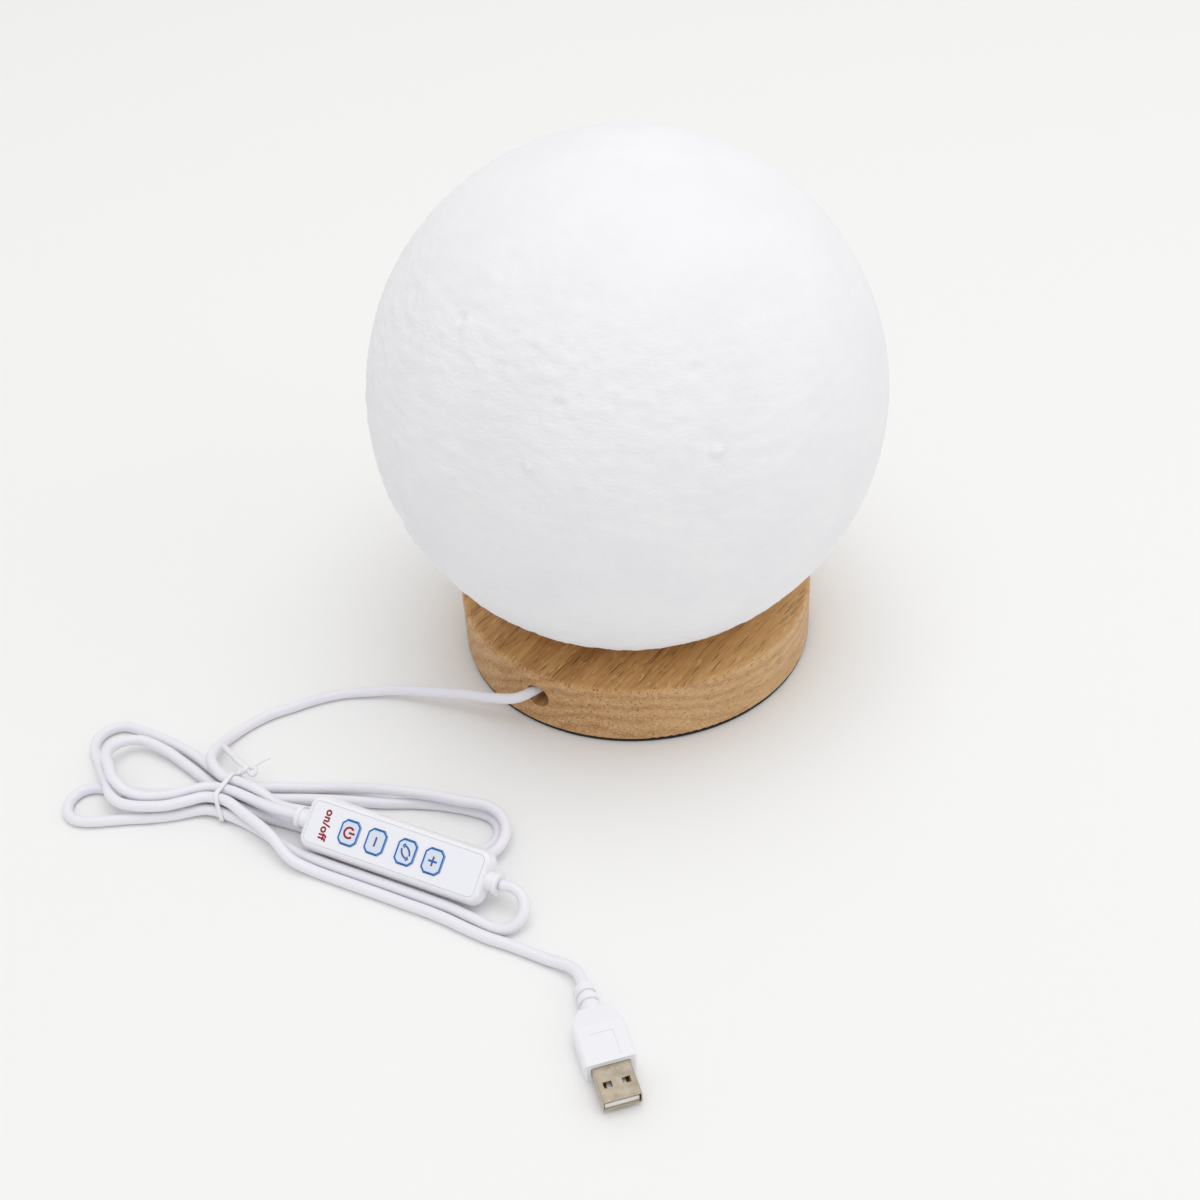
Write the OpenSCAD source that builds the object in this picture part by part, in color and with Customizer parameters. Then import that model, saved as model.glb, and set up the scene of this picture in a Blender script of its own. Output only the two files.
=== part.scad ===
// Moon lamp: a hollow printed globe that lights up, standing on a round wooden foot,
// with a corded four-key control and a USB plug. The spare cord is folded and tied.
// Origin: centre of the underside of the foot. +Z up, -Y towards the front. Millimetres.

/* [Globe] */
// Outer diameter of the globe
globe_d = 180; // [170:1:200]
// Wall of the globe
globe_wall = 2; // [1.6:0.1:2.6]
// Diameter of the flat ring that the globe stands on
globe_foot_d = 76; // [74:0.5:84]

/* [Wooden foot] */
// Diameter of the foot
base_d = 132; // [124:1:150]
// Height from the surface below to the top of the wood
base_h = 25; // [23:0.5:32]
// Radius of the rounded upper edge
base_edge_r = 2; // [0.5:0.25:4]
// Radius of the broken lower edge
base_low_edge_r = 0.8; // [0.3:0.1:1.4]
// Diameter of the soft pad under the foot
pad_d = 128; // [118:1:130]
// Thickness of the soft pad
pad_t = 1.5; // [1:0.1:2]
// Diameter of the hollow in the underside
cavity_d = 92; // [90:1:96]
// Wood left between the hollow and the pocket on top
web_t = 5; // [4.5:0.1:6]
// Diameter of the hole for the cord
bore_d = 9.5; // [8:0.1:10]
// Distance from the roof of the hollow down to the middle of the cord's hole
bore_drop = 2; // [1.95:0.05:3]
// Diameter of the hole for the leads
lead_hole_d = 8; // [7:0.5:10]

/* [Lamp holder] */
// Thickness of the holder's flange, and depth of its pocket
flange_t = 3.5; // [2.5:0.1:4]
// Height of the collar that centres the globe
collar_h = 6; // [5:0.5:8]
// Wall of the collar
collar_wall = 2; // [1.2:0.1:3]
// Height of the three posts under the light board
post_h = 3; // [2.4:0.1:3.5]
// Thickness of the light board
led_board_t = 1.6; // [1:0.1:2]
// Number of lights on the board
led_count = 12; // [6:1:14]
// Width of one light
led_w = 5; // [3.5:0.1:5.2]
// Height of one light
led_h = 1.6; // [0.8:0.1:2]

/* [Cord] */
// Diameter of the cord
cord_d = 3.8; // [3.2:0.1:3.8]
// Diameter of each of the two leads
lead_d = 1.3; // [0.9:0.1:1.5]
// Width of the clamp along the cord
clamp_w = 5; // [4:0.5:6]
// Length of the clamp across the cord
clamp_l = 20; // [18:0.5:24]
// Thickness of the clamp's feet
clamp_t = 2; // [1.6:0.1:2.6]
// Width of the flat tie round the folded cord
tie_w = 2.4; // [1.6:0.1:3]
// Thickness of the tie
tie_t = 0.8; // [0.5:0.05:0.8]

/* [Control] */
// Length of the housing
ctl_l = 70; // [66:1:74]
// Width of the housing
ctl_w = 19; // [18:0.25:19.5]
// Thickness of the housing
ctl_t = 8.5; // [8.2:0.1:9]
// Wall of the two shells
ctl_wall = 1.2; // [1:0.05:1.4]
// Rounding of the housing's long edges
ctl_edge_r = 1.8; // [0.8:0.1:2]
// Rounding of the housing's corners seen from above
ctl_corner_r = 4.5; // [4:0.25:6]
// Narrowing of the housing from its joint to its top and bottom, each side
ctl_draft = 0.7; // [0:0.1:0.9]
// Height of the lip that joins the shells
lip_h = 0.8; // [0.5:0.1:1]
// Length of the face label
label_l = 64.8; // [62:0.2:65]
// Width of the face label
label_w = 14.2; // [13.4:0.1:14.3]
// Thickness of the face label
label_t = 0.4; // [0.2:0.05:0.5]
// Rounding of the label's corners
label_corner_r = 2; // [1:0.25:4]
// Width of a key along the control
key_l = 7.1; // [6.5:0.1:7.6]
// Length of a key across the control
key_w = 8.4; // [7.6:0.1:8.8]
// Length of a key's cut corner
key_cut = 1.5; // [1:0.1:2]
// Height of a key above the label
key_proud = 0.35; // [0.1:0.05:0.8]
// Travel of a key
key_travel = 0.4; // [0.2:0.05:0.5]
// Distance between the keys of a pair
key_pitch = 10.2; // [9.8:0.1:10.6]
// Distance between the two middle keys
key_gap = 11.6; // [10.5:0.1:12]
// Place of the middle of the four keys along the control
key_mid = -0.6; // [-1:0.1:1]
// Diameter of the sleeve where the cord enters
boss_d = 6.5; // [5.5:0.1:7.5]
// Length of the sleeve where the cord enters
boss_l = 3.5; // [3.5:0.1:3.5]
// Diameter of the rim at the sleeve's end
boss_rim_d = 7.8; // [7.6:0.1:8]
// Width of the rim at the sleeve's end
boss_rim_l = 1.4; // [1:0.1:2]
// Length of the circuit board
pcb_l = 60; // [56:1:62]
// Width of the circuit board
pcb_w = 13.4; // [12:0.2:13.6]
// Thickness of the circuit board
pcb_t = 1; // [0.8:0.1:1.2]
// Width of a key switch
switch_w = 6; // [5:0.1:6.4]
// Height of a key switch
switch_h = 2; // [1.6:0.1:2.2]
// Diameter of the stem under a key
stem_d = 3; // [2.4:0.1:3.2]

/* [Plug] */
// Width of the plug's moulding
plug_w = 16.2; // [15:0.1:17]
// Thickness of the plug's moulding
plug_t = 8; // [7:0.1:8]
// Length of the moulding at its full width
plug_l = 14; // [12:0.5:18]
// Length of the sloping shoulders
plug_shoulder_l = 6.5; // [5:0.5:7]
// Width of the moulding's shoulders where the neck starts
plug_shoulder_w = 9; // [8:0.5:10]
// Diameter of the neck
neck_d = 6.3; // [5.6:0.1:7]
// Length of the neck
neck_l = 10; // [10:0.1:10]
// Width of the plug's metal shell
shell_w = 12; // [11.9:0.05:12.1]
// Thickness of the plug's metal shell
shell_h = 4.5; // [4.4:0.05:4.6]
// Length of the metal shell outside the moulding
shell_out = 12; // [11.5:0.1:12.5]
// Length of the metal shell inside the moulding
shell_in = 4; // [3:0.5:6]
// Sheet thickness of the metal shell
shell_t = 0.35; // [0.25:0.01:0.4]

/* [Clearances] */
// Gap between the globe's mouth and the collar
globe_gap = 1.2; // [0.6:0.1:2]
// Gap round the holder in its pocket
pocket_gap = 0.3; // [0.1:0.05:0.5]
// Gap round a screw in its hole
screw_gap = 0.05; // [0.02:0.01:0.1]
// Gap between two seated pieces that don't press
seat_gap = 0.1; // [0.05:0.01:0.15]
// Gap round a key in its window, and round its stem
key_gap_side = 0.2; // [0.12:0.01:0.25]
// Gap round the cord under the tie
tie_gap = 0.15; // [0.1:0.01:0.15]

/* [Hidden] */
$fn = 96;
// Overlap of a cutting body past the face that it opens
cut = 1;

// Globe and foot
globe_r = globe_d / 2;
foot_r = globe_foot_d / 2;
globe_z = base_h + sqrt(pow(globe_r, 2) - pow(foot_r, 2));
globe_in_r = globe_r - globe_wall;
mouth_r = sqrt(pow(globe_in_r, 2) - pow(globe_z - base_h, 2));
base_r = base_d / 2;
// The globe's ring lands on the wood for this width, outside the pocket
foot_on_wood = 1;
pocket_r = foot_r - foot_on_wood;
pocket_z = base_h - flange_t;
cavity_top = pocket_z - web_t;
cavity_r = cavity_d / 2;
bore_z = cavity_top - bore_drop;

// Lamp holder, light board and their screws
collar_r = mouth_r - globe_gap;
post_r = 3;
board_gap = 0.7;
led_board_r = collar_r - collar_wall - board_gap;
post_inset = 4;
led_inset = 6.5;
post_ring_r = led_board_r - post_inset;
led_ring_r = post_ring_r - led_inset;
board_z = base_h + post_h;
holder_screw_inset = 7;
holder_screw_ring_r = post_ring_r - holder_screw_inset;
screw_d = 2.2;
screw_head_d = 4.2;
screw_head_h = 1.5;
// Wood left under the tips of the holder's screws, and how far the board's screws enter the flange
tip_left = 1;
board_screw_bite = 2;
holder_screw_l = flange_t + web_t - tip_left;
board_screw_l = post_h + led_board_t + board_screw_bite;
screw_count = 3;

// The cord's hole, its clamp and the leads, seen along the hole
bore_turn = -125.7;
// The clamp stands this far inside the wall of the hollow
clamp_inset = 5;
clamp_r = cavity_r - clamp_inset;
clamp_side = 1.2;
clamp_screw_side = 6.5;
clamp_screw_l = 5;
lead_apart = 0.9;
// The cord's cover ends this far past the middle of the clamp; the leads run just under its level
cover_past = 3;
lead_drop = 1;
lead_bend = 2;
lead_wall = 0.8;
lead_in = 8;
lead_top_r = 1.5;

// Control: place of its middle, heading and tilt
ctl_at = [-86.3, -117.9, 9.2];
ctl_turn = -27.5;
ctl_tilt = 35;
ctl_end = ctl_l / 2 + boss_l;
key_at = [
    key_mid - key_gap / 2 - key_pitch,
    key_mid - key_gap / 2,
    key_mid + key_gap / 2,
    key_mid + key_gap / 2 + key_pitch
];
roof_z = ctl_t / 2 - label_t - ctl_wall;
flange_key_t = 0.6;
flange_key_side = 0.7;
pcb_z = -ctl_t / 2 + ctl_wall + 0.9;
pcb_top = pcb_z + pcb_t;
key_flange_z = roof_z - seat_gap - flange_key_t;
stem_bottom = pcb_top + switch_h / 2;
well_bottom = stem_bottom - key_travel - seat_gap;
lip_t = ctl_wall / 2 - seat_gap / 2;

// Plug: place of the moulding's front, heading and height
plug_at = [-19.3, -204.2, 4];
plug_turn = -76.5;
plug_end = plug_l + plug_shoulder_l + neck_l;

// Folded cord: place of the tie, heading of the bundle and the heights of its two layers
tie_at = [-148.5, -83];
tie_turn = -27;
floor_z = 2;
low_z = 2.9;
high_z = 7.1;
// Sideways places of the seven passes through the tie
low_side = [-6.9, -2.3, 2.3, 6.9];
high_side = [-4.6, 0, 4.7];

function turned(at, turn, along, side, z) = [
    at[0] + along * cos(turn) - side * sin(turn),
    at[1] + along * sin(turn) + side * cos(turn),
    z
];
function by_bore(r, side, z) = turned([0, 0], bore_turn, r, side, z);
function by_tie(along, side, z) = turned(tie_at, tie_turn, along, side, z);
function by_ctl(along, side, z) = turned(ctl_at, ctl_turn, along, side, z);
function by_plug(along, z) = turned(plug_at, plug_turn, along, 0, z);
// Points along a level or climbing arc about x, y
function bend(x, y, r, from, to, n, z_from, z_to) = [
    for (i = [0 : n - 1])
    let (t = i / (n - 1), a = from + (to - from) * t)
    [x + r * cos(a), y + r * sin(a), z_from + (z_to - z_from) * t]
];
// Half turn of the cord from the control's right end down to the surface, a little wider than
// the two runs that it joins
drop_r = 7.1;
drop_side = 11;
drop_wide = 0.55;
function drop_bend(n) = [
    for (i = [0 : n])
    let (a = 180 * i / n)
    by_ctl(
        ctl_end + 3.9 + drop_r * sin(a),
        (drop_side / 2 + drop_wide) * cos(a) - drop_side / 2,
        (ctl_at[2] + floor_z) / 2 + (ctl_at[2] - floor_z) / 2 * cos(a)
    )
];

// Routes of the cord. First length: clamp, hole, surface, tie.
route_from_base = [
    by_bore(clamp_r - cover_past, clamp_side, bore_z), by_bore(clamp_r + cover_past, clamp_side, bore_z),
    by_bore(54, 0, bore_z + 0.1), by_bore(63, -1.9, bore_z + 0.5),
    [-46, -54, 14.6], [-55, -51, 12.5], [-65, -45.5, 10], [-75, -41, 7.5], [-84, -37, 5.3],
    [-93, -34, 3.6], [-102, -32.8, 2.5], [-112, -32.5, 2], [-121, -34.5, 2], [-130, -38, 2],
    [-138, -41.3, 2], [-145, -46, 2], [-151.5, -53, 2.8], [-155, -60.5, 5], [-155.5, -68, 7],
    by_tie(-4, high_side[2], high_z), by_tie(0, high_side[2], high_z)
];
// First folded length: tie, right bend, tie, left loop, tie, control's left end
route_hank_base = concat(
    [
        by_tie(0, high_side[2], high_z), by_tie(4, high_side[2], high_z), [-136.5, -84.8, 7],
        [-129.5, -89.3, 4], by_ctl(-36, 9, 2), by_ctl(-25, 8.6, 2), by_ctl(-15, 8.5, 2),
        by_ctl(-5, 9, 2), by_ctl(5, 10.5, 2)
    ],
    bend(-62, -106, 9, -105, 55, 6, 2, 2),
    [
        [-70, -93.2, 2], [-82, -90.7, 2], [-94, -89.5, 2], [-106, -87.5, 2], [-120, -85.5, 2],
        [-132, -84.3, 2], by_tie(5, low_side[2], low_z), by_tie(0, low_side[2], low_z), by_tie(-5, low_side[2], low_z),
        [-164.5, -66.3, 2.4], [-174, -58.3, 3.6]
    ],
    bend(-184.3, -63.4, 9.7, 85, 150, 3, 5, 7),
    [[-193.3, -64.5, 8.6]],
    bend(-175, -68, 16, 190, 213, 2, 10.2, 10.2),
    bend(-175, -68, 16, 238, 262, 2, 8.2, 7),
    [
        [-167, -84, 7], [-160, -82.2, 7.1], [-154, -81.4, 7], by_tie(0, high_side[1], high_z),
        by_tie(5, high_side[1], high_z), [-135.5, -91, 7.4], by_ctl(-49, 0, 8.6),
        by_ctl(-ctl_end - 4, 0, ctl_at[2]), by_ctl(-ctl_end, 0, ctl_at[2])
    ]
);
// Second folded length: control's right end, tie, left loop, tie, right bend, tie, left loop, tie
route_hank_plug = concat(
    [by_ctl(ctl_end, 0, ctl_at[2])],
    drop_bend(6),
    [
        by_ctl(34, -10.9, 2), by_ctl(26, -10, 2), by_ctl(20, -9.8, 2),
        by_ctl(10, -9.7, 2), by_ctl(0, -9.7, 2), by_ctl(-10, -9.7, 2), by_ctl(-20, -9.7, 2),
        by_ctl(-36, -9.1, 2), by_tie(13, -7.1, 2.2), by_tie(5, low_side[0], low_z),
        by_tie(0, low_side[0], low_z), [-156.6, -87.8, 2.5], [-166, -89, 2], [-174, -89.6, 2],
        [-182, -89.5, 2]
    ],
    bend(-197, -81.5, 8, 268, 92, 6, 2, 2),
    [
        [-189, -75.3, 2], [-176, -78, 2], [-165, -79.3, 2.3], by_tie(-5, low_side[1], low_z),
        by_tie(0, low_side[1], low_z), by_tie(5, low_side[1], low_z), [-136, -91.7, 2.2], by_ctl(-36, 1.5, 2),
        by_ctl(-25, 2, 2), by_ctl(-15, 3, 2), by_ctl(-5, 4.3, 2), by_ctl(5, 5.8, 2)
    ],
    bend(-61.5, -108.5, 11, -105, 60, 6, 3, 7),
    [
        [-66, -95.3, 6.8], [-78, -91, 6.5], [-93, -86.5, 5.6], [-107, -82, 3], [-121, -79.8, 2],
        [-132, -78.9, 2.2], by_tie(6, 7.3, 2.9), by_tie(0, low_side[3], low_z),
        by_tie(-5, low_side[3], low_z), [-163, -60.6, 2.2], [-172, -53.5, 2], [-181, -47.8, 2]
    ],
    bend(-192.3, -51.5, 8.7, 80, 195, 5, 2, 2),
    [[-197, -62.5, 4.5]],
    bend(-178, -75, 13, 188, 262, 4, 6.7, 6.7),
    [[-169, -88.9, 6.9], [-161, -87.4, 7.1], [-155.6, -86, 7], by_tie(0, high_side[0], high_z)]
);
// Last length: tie, along the control, plug
route_to_plug = [
    by_tie(0, high_side[0], high_z), by_tie(4, high_side[0], high_z), by_tie(12, -7, 7),
    [-131, -104.8, 6.7], by_ctl(-34, -13.9, 4), by_ctl(-26, -14, 2.3), by_ctl(-18, -14, 2),
    by_ctl(-9, -14, 2), by_ctl(0, -14, 2), by_ctl(9, -14.1, 2), by_ctl(18, -14.1, 2),
    by_ctl(26, -14.5, 2), by_ctl(34, -15.35, 2), by_ctl(42, -15.9, 2), [-51.3, -153.8, 2],
    [-44.5, -157.4, 2], [-37.4, -161.5, 2.2],
    [-31.5, -164.9, 3.1], [-28.8, -167.6, 3.8], by_plug(-plug_end - 4, plug_at[2]),
    by_plug(-plug_end, plug_at[2])
];

// Unit vector, and the direction of a route at point i with set directions at its ends
function unit(v) = v / norm(v);
function heading(turn) = [cos(turn), sin(turn), 0];
function route_dir(p, i, first, last) =
    i == 0 ? first
    : i == len(p) - 1 ? last
    : unit(unit(p[i + 1] - p[i]) + unit(p[i] - p[i - 1]));
// One ring of a tube about point c, square to direction d
function tube_ring(c, d, r, sides) =
    let (side = unit(cross(d, [0, 0, 1])), up = cross(side, d))
    [for (k = [0 : sides - 1]) c + r * (cos(360 * k / sides) * side + sin(360 * k / sides) * up)];

// Solid tube along the points p, as one closed body of triangles
module tube(p, d, sides, first, last) {
    points = [
        for (i = [0 : len(p) - 1])
        for (q = tube_ring(p[i], route_dir(p, i, first, last), d / 2, sides)) q
    ];
    end = (len(p) - 1) * sides;
    walls = [
        for (i = [0 : len(p) - 2])
        for (k = [0 : sides - 1])
        let (a = i * sides + k, b = i * sides + (k + 1) % sides)
        for (face = [[a, b, b + sides], [a, b + sides, a + sides]]) face
    ];
    caps = [
        for (k = [1 : sides - 2])
        for (face = [[0, k + 1, k], [end, end + k, end + k + 1]]) face
    ];
    polyhedron(points = points, faces = concat(walls, caps));
}

// Points every 1.5 mm or so along a route, and the least gap of a tube to itself
gap_step = 1.5;
gap_skip = 10;
function fine(p) = [
    for (i = [0 : len(p) - 2])
    let (n = ceil(norm(p[i + 1] - p[i]) / gap_step))
    for (k = [0 : n - 1]) p[i] + (p[i + 1] - p[i]) * k / n
];
function least_gap(p, d) = min([
    for (i = [0 : len(p) - 1 - gap_skip])
    for (j = [i + gap_skip : len(p) - 1]) norm(p[i] - p[j])
]) - d;
function route_length(p, i = 0) = i >= len(p) - 1 ? 0 : norm(p[i + 1] - p[i]) + route_length(p, i + 1);

// Screw standing head down on z = 0, shank downwards
module screw(length) {
    cylinder(d = screw_head_d, h = screw_head_h);
    translate([0, 0, -length]) cylinder(d = screw_d, h = length);
}

module screw_hole(length) {
    translate([0, 0, -length]) cylinder(r = screw_d / 2 + screw_gap, h = length + cut);
}

// Copies on a circle
module around(count, r, from = 0) {
    for (i = [0 : count - 1])
        rotate(from + 360 * i / count)
            translate([r, 0, 0])
                children();
}

// Cutter that rounds the outer edge of a disc of radius r whose face is at z
module edge_cut(r, z, edge, up) {
    translate([0, 0, z])
        mirror([0, 0, up ? 0 : 1])
            rotate_extrude()
                translate([r - edge, -edge])
                    difference() {
                        square(edge + cut);
                        circle(edge);
                    }
}

module wood_base() {
    color("burlywood")
        difference() {
            translate([0, 0, pad_t]) cylinder(r = base_r, h = base_h - pad_t);
            edge_cut(base_r, base_h, base_edge_r, true);
            edge_cut(base_r, pad_t, base_low_edge_r, false);
            translate([0, 0, pad_t - cut]) cylinder(d = cavity_d, h = cavity_top - pad_t + cut);
            translate([0, 0, pocket_z]) cylinder(r = pocket_r, h = flange_t + cut);
            cylinder(d = lead_hole_d, h = base_h);
            around(screw_count, holder_screw_ring_r)
                translate([0, 0, base_h]) screw_hole(holder_screw_l + seat_gap);
            rotate(bore_turn)
                translate([cavity_r - 2 * cut, 0, bore_z])
                    rotate([0, 90, 0])
                        cylinder(d = bore_d, h = base_r);
            clamp_place()
                for (s = [-1, 1])
                    translate([0, s * clamp_screw_side, 0])
                        mirror([0, 0, 1])
                            screw_hole(clamp_screw_l - clamp_t + seat_gap);
        }
}

module base_pad() {
    color("dimgray") cylinder(d = pad_d, h = pad_t);
}

module lamp_holder() {
    color("white")
        difference() {
            union() {
                translate([0, 0, pocket_z]) cylinder(r = pocket_r - pocket_gap, h = flange_t);
                difference() {
                    translate([0, 0, pocket_z]) cylinder(r = collar_r, h = flange_t + collar_h);
                    translate([0, 0, base_h]) cylinder(r = collar_r - collar_wall, h = collar_h + cut);
                }
                around(screw_count, post_ring_r, 180 / screw_count)
                    translate([0, 0, pocket_z]) cylinder(r = post_r, h = flange_t + post_h);
            }
            translate([0, 0, pocket_z - cut]) cylinder(d = lead_hole_d, h = flange_t + 2 * cut);
            around(screw_count, holder_screw_ring_r)
                translate([0, 0, base_h]) screw_hole(flange_t + cut);
            around(screw_count, post_ring_r, 180 / screw_count)
                translate([0, 0, board_z]) screw_hole(board_screw_l - led_board_t + seat_gap);
        }
}

module holder_screws() {
    color("silver")
        around(screw_count, holder_screw_ring_r)
            translate([0, 0, base_h]) screw(holder_screw_l);
}

module led_board() {
    color("ivory")
        difference() {
            translate([0, 0, board_z]) cylinder(r = led_board_r, h = led_board_t);
            around(screw_count, post_ring_r, 180 / screw_count)
                translate([0, 0, board_z + led_board_t]) screw_hole(led_board_t + cut);
        }
}

module leds() {
    color("gold")
        around(led_count, led_ring_r)
            translate([0, 0, board_z + led_board_t + led_h / 2])
                difference() {
                    cube([led_w, led_w, led_h], center = true);
                    translate([0, 0, led_h / 4]) cylinder(d = led_w * 0.75, h = led_h, $fn = 32);
                }
}

module board_screws() {
    color("silver")
        around(screw_count, post_ring_r, 180 / screw_count)
            translate([0, 0, board_z + led_board_t]) screw(board_screw_l);
}

// Two leads from the end of the cord's cover, under the wood and up to the light board
module lead_wires() {
    color("firebrick")
        for (s = [-lead_apart, lead_apart]) {
            lead = [
                by_bore(clamp_r - cover_past - seat_gap, clamp_side + s, bore_z),
                by_bore(clamp_r - cover_past - lead_in, s, bore_z - lead_drop),
                by_bore(lead_hole_d / 2 + lead_bend, s, bore_z - lead_drop),
                by_bore(lead_hole_d / 2 - lead_wall, s, bore_z + lead_drop / 2),
                by_bore(lead_top_r, s, board_z - 2 * seat_gap)
            ];
            tube(lead, lead_d, 6, unit(lead[1] - lead[0]), unit(lead[4] - lead[3]));
        }
}

// Frame of the clamp: x along the cord, z = 0 on the roof of the hollow
module clamp_place() {
    rotate(bore_turn)
        translate([clamp_r, clamp_side, cavity_top])
            children();
}

module cord_clamp() {
    cord_drop = cavity_top - bore_z;
    color("white")
        clamp_place()
            difference() {
                union() {
                    translate([-clamp_w / 2, -clamp_l / 2, -clamp_t]) cube([clamp_w, clamp_l, clamp_t]);
                    translate([-clamp_w / 2, 0, -cord_drop])
                        rotate([0, 90, 0])
                            cylinder(r = cord_d / 2 + clamp_t, h = clamp_w);
                }
                translate([-clamp_w, 0, -cord_drop])
                    rotate([0, 90, 0])
                        cylinder(r = cord_d / 2 + seat_gap, h = 2 * clamp_w);
                translate([-clamp_w, -clamp_l / 2, 0]) cube([2 * clamp_w, clamp_l, 2 * clamp_t + cord_d]);
                translate([-clamp_w, -cord_d / 2 - seat_gap, -cord_drop])
                    cube([2 * clamp_w, cord_d + 2 * seat_gap, cord_drop + cut]);
                for (s = [-1, 1])
                    translate([0, s * clamp_screw_side, 0]) screw_hole(clamp_t + cut);
            }
}

module clamp_screws() {
    color("silver")
        clamp_place()
            for (s = [-1, 1])
                translate([0, s * clamp_screw_side, -clamp_t])
                    mirror([0, 0, 1])
                        screw(clamp_screw_l);
}

module moon_globe() {
    color("whitesmoke")
        translate([0, 0, globe_z])
            difference() {
                sphere(r = globe_r, $fn = 180);
                sphere(r = globe_in_r, $fn = 180);
                translate([0, 0, base_h - globe_z - globe_r])
                    cylinder(r = globe_r, h = globe_r);
            }
}

module cord_from_base() {
    echo(first_length = route_length(route_from_base) + route_length(route_hank_base));
    color("white")
        tube(route_from_base, cord_d, 8, heading(bore_turn), heading(tie_turn));
}

module cord_hank_base() {
    echo(gap_base_hank = least_gap(fine(concat(route_from_base, route_hank_base)), cord_d));
    color("white")
        tube(route_hank_base, cord_d, 6, heading(tie_turn), heading(ctl_turn));
}

module cord_hank_plug() {
    echo(gap_plug_hank = least_gap(fine(concat(route_hank_plug, route_to_plug)), cord_d));
    echo(second_length = route_length(route_hank_plug) + route_length(route_to_plug));
    color("white")
        tube(route_hank_plug, cord_d, 6, heading(ctl_turn), heading(tie_turn));
}

module cord_to_plug() {
    color("white")
        tube(route_to_plug, cord_d, 8, heading(tie_turn), heading(plug_turn));
}

// Frame of the control: x along it, y across, z out of its face
module ctl_place() {
    translate(ctl_at)
        rotate([0, 0, ctl_turn])
            rotate([ctl_tilt, 0, 0])
                children();
}

// Rectangle with round corners
module round_rect(l, w, r) {
    square([l, w - 2 * r], center = true);
    square([l - 2 * r, w], center = true);
    for (x = [-1, 1])
        for (y = [-1, 1])
            translate([x * (l / 2 - r), y * (w / 2 - r)])
                circle(r, $fn = 48);
}

// Half section of a housing's corner: widest at the joint, round at the outer edges
module ctl_corner(r, t, edge) {
    arc = [for (a = [0 : 15 : 90]) [r - ctl_draft - edge + edge * cos(a), t - edge + edge * sin(a)]];
    rotate_extrude($fn = 48)
        polygon(concat(
            [[0, -t]], [for (i = [6 : -1 : 0]) [arc[i][0], -arc[i][1]]],
            [[r, 0]], arc, [[0, t]]
        ));
}

// Closed form of the housing, made smaller on all sides by inset
module ctl_form(inset) {
    hull()
        for (x = [-1, 1])
            for (y = [-1, 1])
                translate([x * (ctl_l / 2 - ctl_corner_r), y * (ctl_w / 2 - ctl_corner_r), 0])
                    ctl_corner(ctl_corner_r - inset, ctl_t / 2 - inset, max(ctl_edge_r - inset, 0.3));
}

// Sleeves at the two ends where the cord enters
module ctl_bosses() {
    for (s = [-1, 1])
        translate([s * (ctl_end - (boss_l + ctl_wall) / 2), 0, 0])
            rotate([0, 90, 0])
                cylinder(d = boss_d, h = boss_l + ctl_wall, center = true);
    for (s = [-1, 1])
        translate([s * (ctl_end - boss_rim_l / 2), 0, 0])
            rotate([0, 90, 0])
                cylinder(d = boss_rim_d, h = boss_rim_l, center = true);
}

// Half space above or below the housing's joint
module ctl_half(up) {
    translate([0, 0, up ? ctl_t / 2 : -ctl_t / 2])
        cube([ctl_l + 4 * boss_l, ctl_w + 2 * cut, ctl_t], center = true);
}

// Hollow inside of the housing
module ctl_inside() {
    intersection() {
        ctl_form(ctl_wall);
        translate([0, 0, roof_z - ctl_t / 2]) cube([ctl_l, ctl_w, ctl_t], center = true);
    }
}

// Outline of the joint's lip
module ctl_lip(inset, h) {
    linear_extrude(height = h)
        round_rect(ctl_l - 2 * inset, ctl_w - 2 * inset, ctl_corner_r - inset);
}

// Posts that carry the circuit board
module pcb_posts() {
    for (x = [-1, 1])
        for (y = [-1, 1])
            translate([x * (pcb_l / 2 - 3), y * (pcb_w / 2 - 2.5), -ctl_t / 2 + ctl_wall / 2])
                cylinder(d = 2.4, h = pcb_z + ctl_t / 2 - ctl_wall / 2, $fn = 32);
}

module controller_bottom() {
    color("white")
        ctl_place() {
            difference() {
                union() {
                    intersection() {
                        ctl_form(0);
                        ctl_half(false);
                    }
                    intersection() {
                        ctl_bosses();
                        ctl_half(false);
                    }
                    difference() {
                        translate([0, 0, -lip_h]) ctl_lip(ctl_wall - lip_t, 2 * lip_h - seat_gap);
                        translate([0, 0, -lip_h - cut]) ctl_lip(ctl_wall, 2 * lip_h + 2 * cut);
                    }
                }
                ctl_inside();
            }
            pcb_posts();
        }
}

module controller_top() {
    color("white")
        ctl_place()
            difference() {
                union() {
                    intersection() {
                        ctl_form(0);
                        ctl_half(true);
                    }
                    intersection() {
                        ctl_bosses();
                        ctl_half(true);
                    }
                }
                ctl_inside();
                translate([0, 0, -cut]) ctl_lip(ctl_wall - lip_t - seat_gap, lip_h + cut);
                translate([0, 0, ctl_t / 2 - label_t])
                    linear_extrude(height = label_t + cut)
                        round_rect(label_l + 2 * seat_gap, label_w + 2 * seat_gap, label_corner_r + seat_gap);
                for (x = key_at)
                    translate([x, 0, roof_z - cut])
                        linear_extrude(height = ctl_t)
                            key_outline(key_gap_side);
            }
}

// Outline of a key with its four corners cut, grown by grow on all sides
module key_outline(grow) {
    l = key_l / 2 + grow;
    w = key_w / 2 + grow;
    c = key_cut + grow * (2 - sqrt(2));
    polygon([
        [l, w - c], [l - c, w], [c - l, w], [-l, w - c],
        [-l, c - w], [c - l, -w], [l - c, -w], [l, c - w]
    ]);
}

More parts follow.
